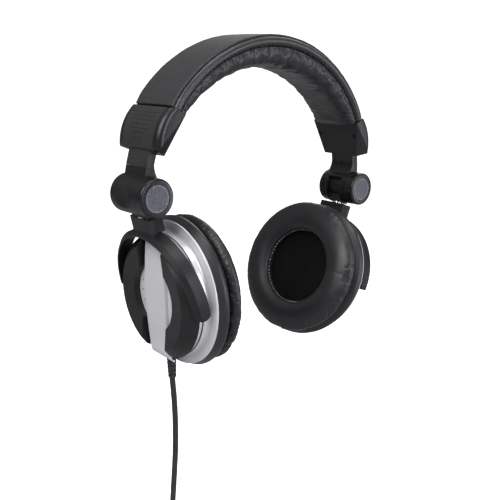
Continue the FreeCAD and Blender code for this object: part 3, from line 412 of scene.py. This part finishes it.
def weave(name, color, rough, pitch, depth):
    """Woven cloth from two crossed sets of ribs, in the object's Y and Z, with painted light and shade on them."""
    g = Graph(name)
    split = g.add("SeparateXYZ", {"Vector": g.place}).outputs
    turn = 2 * math.pi / pitch
    ribs_y = g.math("SINE", g.math("MULTIPLY", split["Y"], turn))
    ribs_z = g.math("SINE", g.math("MULTIPLY", split["Z"], turn))
    cross = g.math("MULTIPLY", ribs_y, ribs_z)
    fuzz = g.noise(3000.0, 3.0)
    height = g.math("ADD", cross, g.math("MULTIPLY", fuzz, 0.5))
    # Painted light and shade: the colour is lighter on the raised crossings and darker in the low ones.
    base = g.mix(g.ramp(cross, -1.0, 1.0), rgb(color, 0.6), rgb(color, 1.4))
    return g.set(color=base, rough=rough, normal=g.bump(height, depth, 1.0), sheen=0.05, sheen_rough=0.5,
                 specular=0.15)


def cap_shell(name):
    """End cap: matte dotted face that turns glossy round its sides."""
    material = plastic(name, (0.034, 0.0335, 0.035), 0.50, 0.00003, specular=0.4)
    g = Graph.reopen(material)
    across = g.math("ABSOLUTE", g.add("SeparateXYZ", {"Vector": g.place}).outputs["Y"])
    sides = g.ramp(across, 0.0140, 0.0156)
    face_color, face_rough = (g.shader.inputs[k].links[0].from_socket for k in ("Base Color", "Roughness"))
    return g.set(color=g.mix(sides, face_color, (0.013, 0.013, 0.0145, 1)),
                 rough=g.add("Mix", {"Factor": sides, "A": face_rough, "B": 0.30}).outputs["Result"],
                 coat=g.ramp(sides, 0.0, 1.0, 0.0, 0.1))


def ribbed_badge(name):
    """Hinge disc: pale ribs over grooves painted near black as shade, told apart by their height on the disc."""
    material = plastic(name, (0.05, 0.052, 0.062), 0.34, 0.00001, coat=0.2)
    g = Graph.reopen(material)
    height = g.math("ABSOLUTE", g.add("SeparateXYZ", {"Vector": g.place}).outputs["Y"])
    # Painted shade: the low grooves get a near-black colour, the raised ribs a pale one.
    ribs_over_shaded_grooves = g.ramp(height, 0.01816, 0.01827)
    return g.set(color=g.mix(ribs_over_shaded_grooves, (0.004, 0.004, 0.006, 1), (0.165, 0.170, 0.205, 1)))


COVER = (0.036, 0.0345, 0.037)
BLACK = (0.016, 0.0150, 0.0165)
make = {
    "cover_leatherette": lambda n: leatherette(n, COVER, 0.56, 1500.0, 0.00002, 0.05),
    "pad_leatherette": lambda n: leatherette(n, (0.020, 0.0195, 0.022), 0.36, 1300.0, 0.00002, 0.1, 0.15),
    "piping_leatherette": lambda n: leatherette(n, (0.028, 0.0275, 0.030), 0.31, 1500.0, 0.00002, 0.1, 0.2),
    "ear_leatherette": lambda n: leatherette(n, (0.019, 0.0180, 0.0208), 0.38, 1400.0, 0.00002, 0.08, 0.12),
    "pad_cloth": lambda n: weave(n, (0.0050, 0.0048, 0.0056), 0.95, 0.0009, 0.00012),
    "cap_plastic": cap_shell,
    "satin_plastic": lambda n: plastic(n, BLACK, 0.36, specular=0.35),
    "gloss_black_plastic": lambda n: plastic(n, (0.012, 0.0118, 0.0135), 0.24, 0.00001, coat=0.15,
                                             specular=0.35),
    "blue_grey_plastic": ribbed_badge,
    "ring_plastic": lambda n: leatherette(n, (0.022, 0.0217, 0.0245), 0.34, 1800.0, 0.00001, 0.1, 0.1),
    "silver_paint": lambda n: paint(n, (0.80, 0.79, 0.815), 0.45, 0.20),
    # The last value darkens the shell's hollows to 30 % of its colour as painted shade.
    "silver_shell": lambda n: paint(n, (0.84, 0.835, 0.855), 0.30, 0.35, 0.0, 0.30),
    "spring_steel": lambda n: metal(n, (0.55, 0.56, 0.58), 0.32),
    "polished_steel": lambda n: metal(n, (0.72, 0.73, 0.75), 0.18),
    "dark_screw": lambda n: metal(n, (0.05, 0.05, 0.055), 0.35),
    "driver_metal": lambda n: paint(n, (0.10, 0.10, 0.105), 0.45, 0.6),
    "diaphragm_film": lambda n: plastic(n, (0.22, 0.20, 0.15), 0.30),
    "wire_insulation": lambda n: plastic(n, (0.12, 0.012, 0.012), 0.45),
    "cable_rubber": lambda n: plastic(n, (0.030, 0.029, 0.032), 0.46, 0.00002, specular=0.4),
    "plug_metal": lambda n: metal(n, (0.82, 0.82, 0.83), 0.12),
    "stitch_thread": lambda n: plastic(n, (0.58, 0.57, 0.58), 0.7),
    "dark_thread": lambda n: plastic(n, (0.03, 0.03, 0.033), 0.6),
}
made_materials = {name: build(name) for name, build in make.items()}


def finish_with(obj, slot_name, look=None):
    """Give a new piece its material, by its slot name or by a look."""
    obj.data.materials.clear()
    obj.data.materials.append(made_materials[look or slot_name])
    return obj


# CAD pieces keep their shape: they get materials, and shading that is smooth across small angles.
SMOOTH_BELOW = 28


def smooth_by_angle():
    """Node group that joins split corners and shades smooth below an edge angle."""
    tree = bpy.data.node_groups.new("smooth_by_angle", "GeometryNodeTree")
    tree.interface.new_socket("Geometry", in_out="INPUT", socket_type="NodeSocketGeometry")
    tree.interface.new_socket("Geometry", in_out="OUTPUT", socket_type="NodeSocketGeometry")
    new, link = tree.nodes.new, tree.links.new
    source, result = new("NodeGroupInput"), new("NodeGroupOutput")
    weld, faces, edges = new("GeometryNodeMergeByDistance"), new("GeometryNodeSetShadeSmooth"), \
        new("GeometryNodeSetShadeSmooth")
    angle, small = new("GeometryNodeInputMeshEdgeAngle"), new("FunctionNodeCompare")
    weld.inputs["Distance"].default_value = 1e-6
    edges.domain = "EDGE"
    small.operation = "LESS_THAN"
    small.inputs["B"].default_value = math.radians(SMOOTH_BELOW)
    link(source.outputs[0], weld.inputs["Geometry"])
    link(weld.outputs["Geometry"], faces.inputs["Geometry"])
    link(faces.outputs["Geometry"], edges.inputs["Geometry"])
    link(angle.outputs["Unsigned Angle"], small.inputs["A"])
    link(small.outputs["Result"], edges.inputs["Shade Smooth"])
    link(edges.outputs["Geometry"], result.inputs[0])
    return tree


shading = smooth_by_angle()
for entry in frame["record"]["subparts"]:
    node = frame["nodes"][entry["node"]]
    node.data.materials.clear()
    node.data.materials.append(made_materials[entry["material_slot"]])
    node.modifiers.new("shading", "NODES").node_group = shading


# ---------------------------------------------------------------- headband
def band_points(depth, turn):
    """Points (x, z) at depths under the band's cover; turn in degrees from the top, signed."""
    side, size = np.sign(turn), np.abs(turn)
    a = np.radians(size)
    lean = math.radians(CROWN_TURN)
    run = CROWN_R - SHOULDER_R
    centre = (run * math.sin(lean), CROWN_TOP - CROWN_R + run * math.cos(lean))
    crown = size <= CROWN_TURN
    x = np.where(crown, (CROWN_R - depth) * np.sin(a), centre[0] + (SHOULDER_R - depth) * np.sin(a))
    z = np.where(crown, CROWN_TOP - CROWN_R + (CROWN_R - depth) * np.cos(a),
                 centre[1] + (SHOULDER_R - depth) * np.cos(a))
    return side * x, z


def above_cap(x, z):
    """Height of a point over the top plane of the end caps."""
    run, rise = CAP_TOP_OUTER[0] - CAP_TOP_INNER[0], CAP_TOP_OUTER[1] - CAP_TOP_INNER[1]
    size = math.hypot(run, rise)
    return (-rise * (np.abs(x) - CAP_TOP_INNER[0]) + run * (z - CAP_TOP_INNER[1])) / size


def pad_depth(turn):
    """Depth of the pad's underside along the band's own radius."""
    low, high = np.full_like(turn, 8.0), np.full_like(turn, 24.0)
    lean = math.radians(PAD_CROWN_TURN)
    run = PAD_CROWN_R - PAD_FLANK_R
    for _ in range(HALVINGS):
        mid = (low + high) / 2
        x, z = band_points(mid, np.abs(turn))
        from_top = np.degrees(np.arctan2(x, z + PAD_CROWN_R))
        near = np.hypot(x, z + PAD_CROWN_R) - PAD_CROWN_R
        far = np.hypot(x - run * math.sin(lean), z + PAD_CROWN_R - run * math.cos(lean)) - PAD_FLANK_R
        outside = np.where(from_top <= PAD_CROWN_TURN, near, far) > 0
        low, high = np.where(outside, mid, low), np.where(outside, high, mid)
    return low


def band_grid(depth_of, y_of, stations, columns, gap=0.3):
    """Grid of points along the band.  depth_of(turn, column) and y_of(turn, column) give the section."""
    share = np.linspace(-1, 1, stations)[:, None]
    column = np.arange(columns)[None, :]
    low, high = np.full((1, columns), 40.0), np.full((1, columns), 80.0)
    for _ in range(HALVINGS):
        mid = (low + high) / 2
        x, z = band_points(depth_of(mid, column), mid)
        inside = above_cap(x, z) > gap
        low, high = np.where(inside, mid, low), np.where(inside, high, mid)
    turn = share * low
    depth = depth_of(turn, column)
    x, z = band_points(depth, turn)
    y = y_of(turn, column) * np.ones_like(x)
    return np.stack([x, y, z], axis=2), turn


def band_run_mm(turn):
    """Length along the band from the top, in mm."""
    return np.radians(turn) * BAND_MEAN_R


def headband_cover():
    """Leatherette skin: slightly crowned, with rolled edges that tuck in over the piping."""
    section = resample([(-17.5, 1.55), (-17.9, 0.9), (-17.4, 0.25), (-15.5, 0.05), (-8, 0.02), (0, 0.0),
                        (8, 0.02), (15.5, 0.05), (17.4, 0.25), (17.9, 0.9), (17.5, 1.55), (15.0, 1.42),
                        (8, 1.4), (0, 1.4), (-8, 1.4), (-15.0, 1.42)], 120, closed=True)
    points, turn = band_grid(lambda t, c: section[c, 1] + 0 * t, lambda t, c: section[c, 0] + 0 * t, 260, 120)
    s = band_run_mm(turn)
    y = points[..., 1]
    top = np.clip((1.3 - section[None, :, 1]) / 1.0, 0, 1)
    ease = 1 - np.clip((np.abs(turn) - 58) / 6, 0, 1)
    lift = 0.16 * value_noise(s / 26 + 9, y / 17 + 40, 3) - 0.10
    lift += 0.05 * value_noise(s / 7 + 3, y / 9 + 20, 4)
    edge = np.clip((np.abs(y) - 13.5) / 4, 0, 1)
    lift += edge * 0.10 * value_noise(s / 3.2, y / 12 + 20, 5)
    points = points + run_normals(points) * (lift * top * ease)[..., None]
    return grid_object("cover_skin", points, wrap_v=True, close_ends=True)


def headband_piping(side):
    """Rolled edge of the cover: a soft roll with small gathers."""
    columns = 36
    angle = np.linspace(0, 2 * np.pi, columns, endpoint=False)
    shape_y = PIPING_Y + PIPING_R * np.cos(angle)
    shape_d = PIPING_DEPTH - PIPING_R * np.sin(angle)
    points, turn = band_grid(lambda t, c: shape_d[c] + 0 * t, lambda t, c: shape_y[c] + 0 * t, 420, columns)
    s = band_run_mm(turn)
    round_the_roll = np.broadcast_to(np.cos(angle)[None, :], s.shape)
    seed = 21 if side > 0 else 31
    lift = 0.10 * value_noise(s / 15 + 40, round_the_roll * 1.1 + 30, seed)
    lift += 0.09 * (creases(value_noise(s / 2.6 + 50, round_the_roll * 1.3 + 30, seed + 1), 0.5) - 0.8)
    under = np.clip(-np.sin(angle), 0, 1)[None, :]
    lift += 0.16 * under * (creases(value_noise(s / 1.9 + 50, round_the_roll + 30, seed + 2), 0.5) - 0.7)
    points = points + run_normals(points) * (np.minimum(lift, 0.12) - 0.02)[..., None]
    points[..., 1] *= side
    name = "piping_front" if side > 0 else "piping_rear"
    return grid_object(name, points, wrap_v=True, close_ends=True)


def headband_cushion():
    """Thick pad: domed underside, with dense creases that run in from both side seams."""
    columns, back_columns, stations = 150, 30, 521
    last_under = columns - back_columns - 1
    t = np.linspace(0, np.pi, columns - back_columns)
    under = np.stack([17.9 * np.sign(np.cos(t)) * np.abs(np.cos(t)) ** 0.50, np.sin(t) ** 0.80], axis=1)
    under[:, 0] += 0.7 * np.sign(under[:, 0]) * np.sin(np.clip(under[:, 1], 0, 1) * np.pi)
    back = np.stack([np.linspace(-17.2, 17.2, back_columns), np.zeros(back_columns)], axis=1)
    section = np.vstack([under, back])
    reach = section[:, 1]

    def depth_of(turn, column):
        full = pad_depth(np.asarray(turn + 0 * column, float))
        return PAD_TOP_DEPTH + 0.15 + (full - 0.35 - PAD_TOP_DEPTH) * reach[column]

    points, turn = band_grid(depth_of, lambda a, c: section[c, 0] + 0 * a, stations, columns)
    s = band_run_mm(turn)
    girth = np.concatenate([[0], np.cumsum(np.hypot(np.diff(section[:, 0]), np.diff(reach * 11)))])
    across = np.broadcast_to(girth[None, :], s.shape)
    span = girth[last_under]
    from_seam = np.minimum(across, span - across)
    soft = np.clip(from_seam / 1.5, 0, 1) * (across < span)
    sway = 1.2 * value_noise(s / 16 + 30, across / 9 + 3, 51)
    near = np.exp(-(from_seam / 7.0) ** 2)
    long_folds = creases(value_noise((s + 2.2 * sway) / 3.6 + 60, across / 15 + 5, 52), 0.45)
    fine_folds = creases(value_noise((s + 1.5 * sway) / 1.9 + 90, across / 8 + 5, 53), 0.5)
    puffs = value_noise(s / 15 + 60, across / 11 + 5, 54)
    gathers = value_noise(s / 6.5 + 60, across / 14 + 5, 55)
    where = np.clip(0.55 + 0.6 * value_noise(s / 24 + 60, across / 18 + 5, 56), 0.15, 1)
    lift = 0.25 * puffs + near * 0.30 * gathers
    lift += (0.26 + 0.44 * near) * where * (long_folds - 0.85)
    lift += (0.10 + 0.30 * near) * (fine_folds - 0.8)
    normal = run_normals(points)
    step_u, step_v = 4, 5
    held = np.zeros((stations, columns), bool)
    held[:, last_under:], held[:, 0], held[0], held[-1] = True, True, True, True
    coarse = points + 0.12 * normal * value_noise(s / 5 + 60, across / 6 + 5, 57)[..., None]
    moved = swell(coarse[::step_u, ::step_v], held[::step_u, ::step_v], 0.05, 3.0, 3.0, False)
    swelled = (moved * normal[::step_u, ::step_v]).sum(axis=2)
    lift += 0.8 * refine(puckers_only(swelled, 5, False), stations, columns, False)
    ends = np.clip((turn.max() - np.abs(turn)) / 5, 0, 1)
    lift = np.clip(lift, -1.5, 0.6) * soft * (0.35 + 0.65 * ends)
    points = points + normal * lift[..., None]
    return grid_object("headband_pad", points, wrap_v=True, close_ends=True)


def seam_stitches(side):
    """Dark lockstitches in the seam between the piping and the pad."""
    centres, directions = [], []
    turns = np.arange(-58.5, 58.6, 1.9)
    for turn in turns:
        x, z = band_points(np.array([BAND_SEAM_DEPTH]), np.array([turn]))
        ahead = band_points(np.array([BAND_SEAM_DEPTH]), np.array([turn + 0.5]))
        centres.append((x[0], side * BAND_SEAM_Y, z[0]))
        directions.append((ahead[0][0] - x[0], 0, ahead[1][0] - z[0]))
    name = "band_stitches_front" if side > 0 else "band_stitches_rear"
    return pills(name, centres, directions, 1.9, 0.26)


cover = finish_with(headband_cover(), "cover_leatherette")
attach(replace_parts(cover, "headband_cover"), "headband")
pad = finish_with(headband_cushion(), "pad_leatherette")
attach(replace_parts(pad, "headband_cushion"), "headband")
for y_side in (1, -1):
    roll = finish_with(headband_piping(y_side), "piping_leatherette")
    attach(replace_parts(roll, "headband_piping"), "headband")
    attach(finish_with(seam_stitches(y_side), "piping_leatherette", "dark_thread"), "headband")


# ---------------------------------------------------------------- ear cups
def cup_to_row(points, side):
    """Points (axial, y, z) in the cup's own frame, in mm, to the row frame at rest."""
    centre = np.array(joints[side + "_tilt"]["pos_m"]) * 1000
    tilt = math.radians(TILT[side])
    x = points[..., 0] * math.cos(tilt) + points[..., 2] * math.sin(tilt)
    z = -points[..., 0] * math.sin(tilt) + points[..., 2] * math.cos(tilt)
    lean, turn = math.radians(STEM_LEAN), math.radians(REST_SWIVEL)
    axis = np.array([math.sin(lean), 0, math.cos(lean)])
    placed = np.stack([x, points[..., 1], z], axis=-1)
    along = (placed @ axis)[..., None] * axis
    placed = along + (placed - along) * math.cos(turn) + np.cross(axis, placed) * math.sin(turn)
    return placed * np.array([1 if side == "right" else -1, 1, 1]) + centre


def ring_grid(section, around):
    """Grid of a section (axial, radius) turned round the cup's axis, and the angle of each point."""
    phi = np.linspace(0, 2 * np.pi, around, endpoint=False)[:, None]
    axial = np.broadcast_to(section[None, :, 0], (around, len(section)))
    radius = np.broadcast_to(section[None, :, 1], (around, len(section)))
    return np.stack([axial, radius * np.cos(phi), radius * np.sin(phi)], axis=2), phi


def pad_outward(points, phi):
    """Unit normals of an ear pad's skin, away from the middle of its section."""
    normal = grid_normals(points, True, True)
    flat = 0 * points[..., 0]
    middle = np.stack([flat + PAD_MIDDLE[0], PAD_MIDDLE[1] * np.cos(phi) + flat,
                       PAD_MIDDLE[1] * np.sin(phi) + flat], axis=2)
    return normal * np.sign((normal * (points - middle)).sum(axis=2)).mean()


def ear_cushion(side):
    """Ring pad with gathers along its outer seam, a soft face and a creased inner edge."""
    outline = [(-20.75, 41.8), (-21.1, 43.5), (-22.4, 45.6), (-24.4, 46.7), (-26.6, 46.1), (-28.5, 43.9),
               (-29.9, 40.8), (-30.9, 36.8), (-31.0, 32.8), (-30.2, 29.6), (-28.5, 27.2), (-26.3, 26.3),
               (-23.6, 26.6), (-20.75, 27.5), (-20.7, 32.0), (-20.7, 38.0)]
    columns, around, coarse_columns, coarse_around = 120, 720, 24, 240
    section = resample(outline, columns, closed=True)
    points, phi = ring_grid(section, around)
    girth = np.concatenate([[0], np.cumsum(np.linalg.norm(np.diff(section, axis=0), axis=1))])[None, :]
    seed = 70 if side == "right" else 90
    turns = phi / (2 * np.pi)
    near = np.exp(-(girth / 6.0) ** 2)
    side_face = np.exp(-(girth / 10.5) ** 4)
    strength = 0.6 + 0.4 * value_noise(turns * 9, girth * 0 + 3, seed, wrap=9)
    strength = strength * (0.45 + 0.9 * np.clip(np.cos(phi - math.radians(PUCKER_ANGLE)), 0, 1))
    sway = 0.35 * value_noise(turns * 40, girth / 6 + 2, seed + 5, wrap=40)
    gathers = value_noise(turns * 64 + sway, girth / 13 + 4, seed + 1, wrap=64)
    folds = creases(value_noise(turns * 120 + sway, girth / 9 + 4, seed + 2, wrap=120), 0.5)
    fine = creases(value_noise(turns * 230 + sway, girth / 5 + 4, seed + 3, wrap=230), 0.5)
    broad = value_noise(turns * 14, girth / 16 + 4, seed + 4, wrap=14)
    front = np.clip((girth - 8) / 6, 0, 1) * (girth < 42)
    lift = 0.45 * near * strength * gathers + 0.42 * side_face * strength * (folds - 0.85)
    lift += 0.24 * side_face * (fine - 0.8) + 0.20 * broad * front
    hole = np.exp(-((girth - 33.5) / 3.0) ** 2)
    lift += hole * 0.22 * (creases(value_noise(turns * 90, girth / 5 + 4, seed + 6, wrap=90), 0.5) - 0.8)
    pinch = np.exp(-(girth / 1.0) ** 2) * -0.5
    hold = np.where(girth > 46, 0.0, 1.0)
    coarse_section = resample(outline, coarse_columns, closed=True)
    coarse, coarse_phi = ring_grid(coarse_section, coarse_around)
    cells = np.arange(coarse_columns)[None, :]
    noise = value_noise(coarse_phi / (2 * np.pi) * 60, cells / 2.0, seed + 7, wrap=60)
    coarse_normal = pad_outward(coarse, coarse_phi)
    held = np.broadcast_to(coarse_section[None, :, 0] > PAD_SEAM - 0.5, (coarse_around, coarse_columns))
    moved = swell(coarse + 0.15 * coarse_normal * noise[..., None], held, 0.04, 4.0, 3.0, True)
    swelled = (moved * coarse_normal).sum(axis=2)
    lift = lift + 0.8 * strength * refine(puckers_only(swelled, 8, True), around, columns, True)
    dents = creases(value_noise(turns * 46 + sway, girth / 22 + 4, seed + 8, wrap=46), 0.60)
    depth = 0.4 + (1.9 * np.clip(np.cos(phi - math.radians(PUCKER_ANGLE)), 0, 1) if side == "right" else 0)
    lift += depth * np.exp(-((girth - 7.0) / 5.5) ** 4) * strength * (dents - 0.85)
    lift = np.clip(lift + pinch, -2.0, 0.8) * hold
    points = points + pad_outward(points, phi) * lift[..., None]
    return grid_object(side + "_ear_pad", cup_to_row(points, side), wrap_u=True, wrap_v=True)


def pad_skirt(side):
    """Smooth roll behind the ear pad."""
    outline = [(-10.55, 44.9), (-10.5, 45.4), (-11.6, 46.0), (-13.6, 47.1), (-15.4, 47.7), (-17.2, 46.8),
               (-19.2, 44.1), (-20.3, 42.2), (-20.35, 40.4), (-17.0, 40.15), (-13.4, 40.3), (-13.3, 43.0),
               (-13.0, 44.85)]
    section = resample(outline, 64, closed=True)
    points, phi = ring_grid(section, 480)
    turns = phi / (2 * np.pi)
    outer = np.clip((section[None, :, 1] - 42.3) / 1.5, 0, 1) * np.clip((-section[None, :, 0] - 12) / 2, 0, 1)
    late = np.clip((-section[None, :, 0] - 16.5) / 3, 0, 1)
    seed = 110 if side == "right" else 120
    lift = 0.10 * value_noise(turns * 22, section[None, :, 0] / 9 + 8, seed, wrap=22)
    lift = lift + late * 0.16 * (creases(value_noise(turns * 150, section[None, :, 0] / 5 + 8, seed + 1,
                                                     wrap=150), 0.5) - 0.8)
    radial = np.stack([np.zeros_like(points[..., 0]), np.cos(phi) + 0 * points[..., 0],
                       np.sin(phi) + 0 * points[..., 0]], axis=2)
    points = points + radial * (lift * outer)[..., None]
    return grid_object(side + "_pad_skirt", cup_to_row(points, side), wrap_u=True, wrap_v=True)


def cloth_screen(side):
    """Cloth disc over the driver, sagging slightly between the frame and the middle."""
    rings, around = 40, 160
    radius = np.linspace(0.02, CLOTH_R, rings)[None, :, None]
    phi = np.linspace(0, 2 * np.pi, around, endpoint=False)[:, None, None]
    sag = 0.25 * value_noise(phi / (2 * np.pi) * 12, radius / 9 + 3, 140, wrap=12)
    front = CLOTH_FRONT + 0.0 * phi + np.clip(sag, -0.25, 0.25) * np.sin(np.pi * radius / CLOTH_FRAME_R)
    back = np.full_like(front, CLOTH_BACK)
    faces = []
    for level in (front, back):
        faces.append(np.concatenate([level, radius * np.cos(phi), radius * np.sin(phi)], axis=2))
    section = np.concatenate([faces[0], faces[1][:, ::-1]], axis=1)
    return grid_object(side + "_cloth_screen", cup_to_row(section, side), wrap_u=True, wrap_v=True)


def cup_stitches(side, name, axial, radius, count, length, size):
    """Ring of stitches at one axial place on the cup."""
    phi = (np.arange(count) + 0.5) * 2 * np.pi / count
    centres = np.stack([np.full(count, axial), radius * np.cos(phi), radius * np.sin(phi)], axis=1)
    ahead = np.stack([np.zeros(count), -np.sin(phi), np.cos(phi)], axis=1)
    start = cup_to_row(centres, side)
    return pills(side + name, start, cup_to_row(centres + ahead, side) - start, length, size)


for name in SIDES:
    body = name + "_cup_body"
    cushion = finish_with(ear_cushion(name), "ear_leatherette")
    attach(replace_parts(cushion, name + "_ear_cushion"), body)
    skirt = finish_with(pad_skirt(name), "ring_plastic")
    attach(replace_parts(skirt, name + "_pad_ring"), body)
    screen = finish_with(cloth_screen(name), "pad_cloth")
    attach(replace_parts(screen, name + "_pad_cloth"), body)
    inner = finish_with(cup_stitches(name, "_hole_stitches", -25.4, 26.25, 64, 1.6, 0.26), "ear_leatherette",
                        "stitch_thread")
    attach(inner, body)
    outer = finish_with(cup_stitches(name, "_seam_stitches", -18.75, 44.8, 104, 1.2, 0.2),
                        "ring_plastic", "dark_thread")
    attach(outer, body)


# ---------------------------------------------------------------- cable
def cable_path():
    """Middle of the cable from the strain relief to the plug, in mm."""
    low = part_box("cable")[0]
    start = np.array(joints["cable_swing"]["pos_m"]) * 1000
    lean = math.radians(CABLE_BEND_TURN)
    end_x = start[0] + CABLE_BEND_R * (1 - math.cos(lean))
    angles = np.linspace(lean, 0, 60)
    bend = np.stack([end_x - CABLE_BEND_R * (1 - np.cos(angles)), np.full(60, start[1]),
                     start[2] - CABLE_BEND_R * (math.sin(lean) - np.sin(angles))], axis=1)
    tail = np.array([[end_x, start[1], z] for z in np.linspace(bend[-1, 2] - 1, low.z * 1000, 30)])
    top = start + (CABLE_R - 0.1) * np.array([-math.sin(lean), 0, math.cos(lean)])
    return np.vstack([top, bend, tail])


def cable():
    """Round cable with a faint twist of the cores under its skin."""
    path = resample(cable_path(), 260)
    ahead = np.gradient(path, axis=0)
    ahead /= np.linalg.norm(ahead, axis=1, keepdims=True)
    across = np.cross(ahead, np.array([0.0, 1.0, 0.0]))
    across /= np.linalg.norm(across, axis=1, keepdims=True)
    along = np.arange(len(path))[:, None] / len(path)
    phi = np.linspace(0, 2 * np.pi, 28, endpoint=False)[None, :]
    radius = CABLE_R - 0.03 + 0.02 * np.cos(2 * phi + along * 60) + 0.015 * value_noise(
        along * 40, phi * 0 + 4, 160)
    points = path[:, None, :] + radius[..., None] * (np.cos(phi)[..., None] * across[:, None, :]
                                                     + np.sin(phi)[..., None] * np.array([0.0, 1.0, 0.0]))
    return grid_object("cable_cord", points, wrap_v=True, close_ends=True)


lead = finish_with(cable(), "cable_rubber")
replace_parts(lead, "cable")
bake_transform(lead)

# ---------------------------------------------------------------- stage, light and camera
scene = bpy.context.scene
scene.view_settings.view_transform = "Standard"


def backdrop():
    """Pale floor that curves up into a wall behind the object."""
    floor = cad_box[0][2] - 0.003
    profile = [(-3.0, 0.0), (2.2, 0.0)]
    profile += [(2.2 + 0.8 * math.sin(a), 0.8 - 0.8 * math.cos(a)) for a in np.linspace(0.1, math.pi / 2, 12)]
    profile += [(3.0, 4.0)]
    azimuth = math.radians(CAMERA_AZIMUTH)
    back = np.array([-math.sin(azimuth), math.cos(azimuth)])
    side = np.array([math.cos(azimuth), math.sin(azimuth)])
    points = np.array([[[*(back * run + side * wide), floor + rise] for wide in (-4, 4)]
                       for run, rise in profile]) / MM
    sheet = grid_object("backdrop", points)
    g = Graph("backdrop_paper")
    seen = g.add("LightPath").outputs["Is Camera Ray"]
    tone = g.mix(g.noise(3.0, 2.0), (0.88, 0.88, 0.88, 1), (0.92, 0.92, 0.92, 1))
    tone = g.mix(seen, (0.35, 0.35, 0.36, 1), tone)
    g.shader.inputs["Emission Color"].default_value = (1, 1, 1, 1)
    g.tree.links.new(g.ramp(seen, 0.0, 1.0, 0.03, 0.95), g.shader.inputs["Emission Strength"])
    sheet.data.materials.append(g.set(color=tone, rough=0.9, specular=0.0))
    return sheet


def soft_light(name, azimuth, elevation, distance, size, power, color):
    """Area light aimed at the middle of the object."""
    a, e = math.radians(azimuth), math.radians(elevation)
    way = Vector((math.sin(a) * math.cos(e), -math.cos(a) * math.cos(e), math.sin(e)))
    middle = Vector((0, 0, -0.09))
    data = bpy.data.lights.new(name, "AREA")
    data.shape = "RECTANGLE"
    data.size, data.size_y = size
    data.energy = power
    data.color = color
    lamp = bpy.data.objects.new(name, data)
    lamp.location = middle + way * distance
    lamp.rotation_euler = (-way).to_track_quat("-Z", "Y").to_euler()
    scene.collection.objects.link(lamp)
    return lamp


CAMERA_AZIMUTH, CAMERA_ELEVATION, CAMERA_ROLL = -43.96, 11.47, 4.10
CAMERA_DISTANCE, CAMERA_LENS = 0.4957, 53.1
CAMERA_AIM = Vector((0, 0, -0.1193))
CAMERA_SHIFT = 0.00055


def place_camera():
    """Camera at the front left of the object and a little above it."""
    a, e, r = (math.radians(v) for v in (CAMERA_AZIMUTH, CAMERA_ELEVATION, CAMERA_ROLL))
    back = Vector((math.sin(a) * math.cos(e), -math.cos(a) * math.cos(e), math.sin(e)))
    right = Vector((math.cos(a), math.sin(a), 0))
    up = back.cross(right)
    right_rolled = right * math.cos(r) + up * math.sin(r)
    up_rolled = up * math.cos(r) - right * math.sin(r)
    data = bpy.data.cameras.new("camera")
    data.sensor_width, data.lens = 36.0, CAMERA_LENS
    data.clip_start = 0.01
    camera = bpy.data.objects.new("camera", data)
    turn = Matrix((right_rolled, up_rolled, back)).transposed().to_4x4()
    camera.matrix_world = Matrix.Translation(CAMERA_AIM + right * CAMERA_SHIFT + back * CAMERA_DISTANCE) @ turn
    scene.collection.objects.link(camera)
    scene.camera = camera


def studio_sky():
    """Soft white surroundings, brighter overhead."""
    world = bpy.data.worlds.new("studio")
    scene.world = world
    world.use_nodes = True
    tree = world.node_tree
    direction = tree.nodes.new("ShaderNodeTexCoord").outputs["Generated"]
    height = tree.nodes.new("ShaderNodeSeparateXYZ")
    level = tree.nodes.new("ShaderNodeMapRange")
    level.inputs["From Min"].default_value, level.inputs["From Max"].default_value = SKY_HEIGHTS
    level.inputs["To Min"].default_value, level.inputs["To Max"].default_value = SKY_LEVELS
    tree.links.new(direction, height.inputs[0])
    tree.links.new(height.outputs["Z"], level.inputs["Value"])
    tree.links.new(level.outputs["Result"], tree.nodes["Background"].inputs["Strength"])
    tree.nodes["Background"].inputs["Color"].default_value = SKY_TINT


SKY_HEIGHTS, SKY_LEVELS = (-0.1, 0.8), (0.08, 0.38)
SKY_TINT = (1.0, 0.975, 1.0, 1)
# name, azimuth, elevation (degrees), distance, size (m), power (W), colour
LIGHTS = (
    ("key", -78, 34, 1.3, (0.8, 0.8), 10, (1, 1, 1)),
    ("front", 2, 14, 1.1, (0.40, 0.9), 5.5, (0.90, 0.93, 1.0)),
    ("side", 44, -6, 1.2, (0.35, 0.8), 3.8, (0.95, 0.96, 1.0)),
    ("rim", 125, 40, 1.4, (0.8, 0.8), 5, (1, 1, 1)),
    ("top", -30, 80, 1.2, (1.0, 0.5), 5, (1, 1, 1)),
)
place_camera()
backdrop()
studio_sky()
for settings in LIGHTS:
    soft_light(*settings)
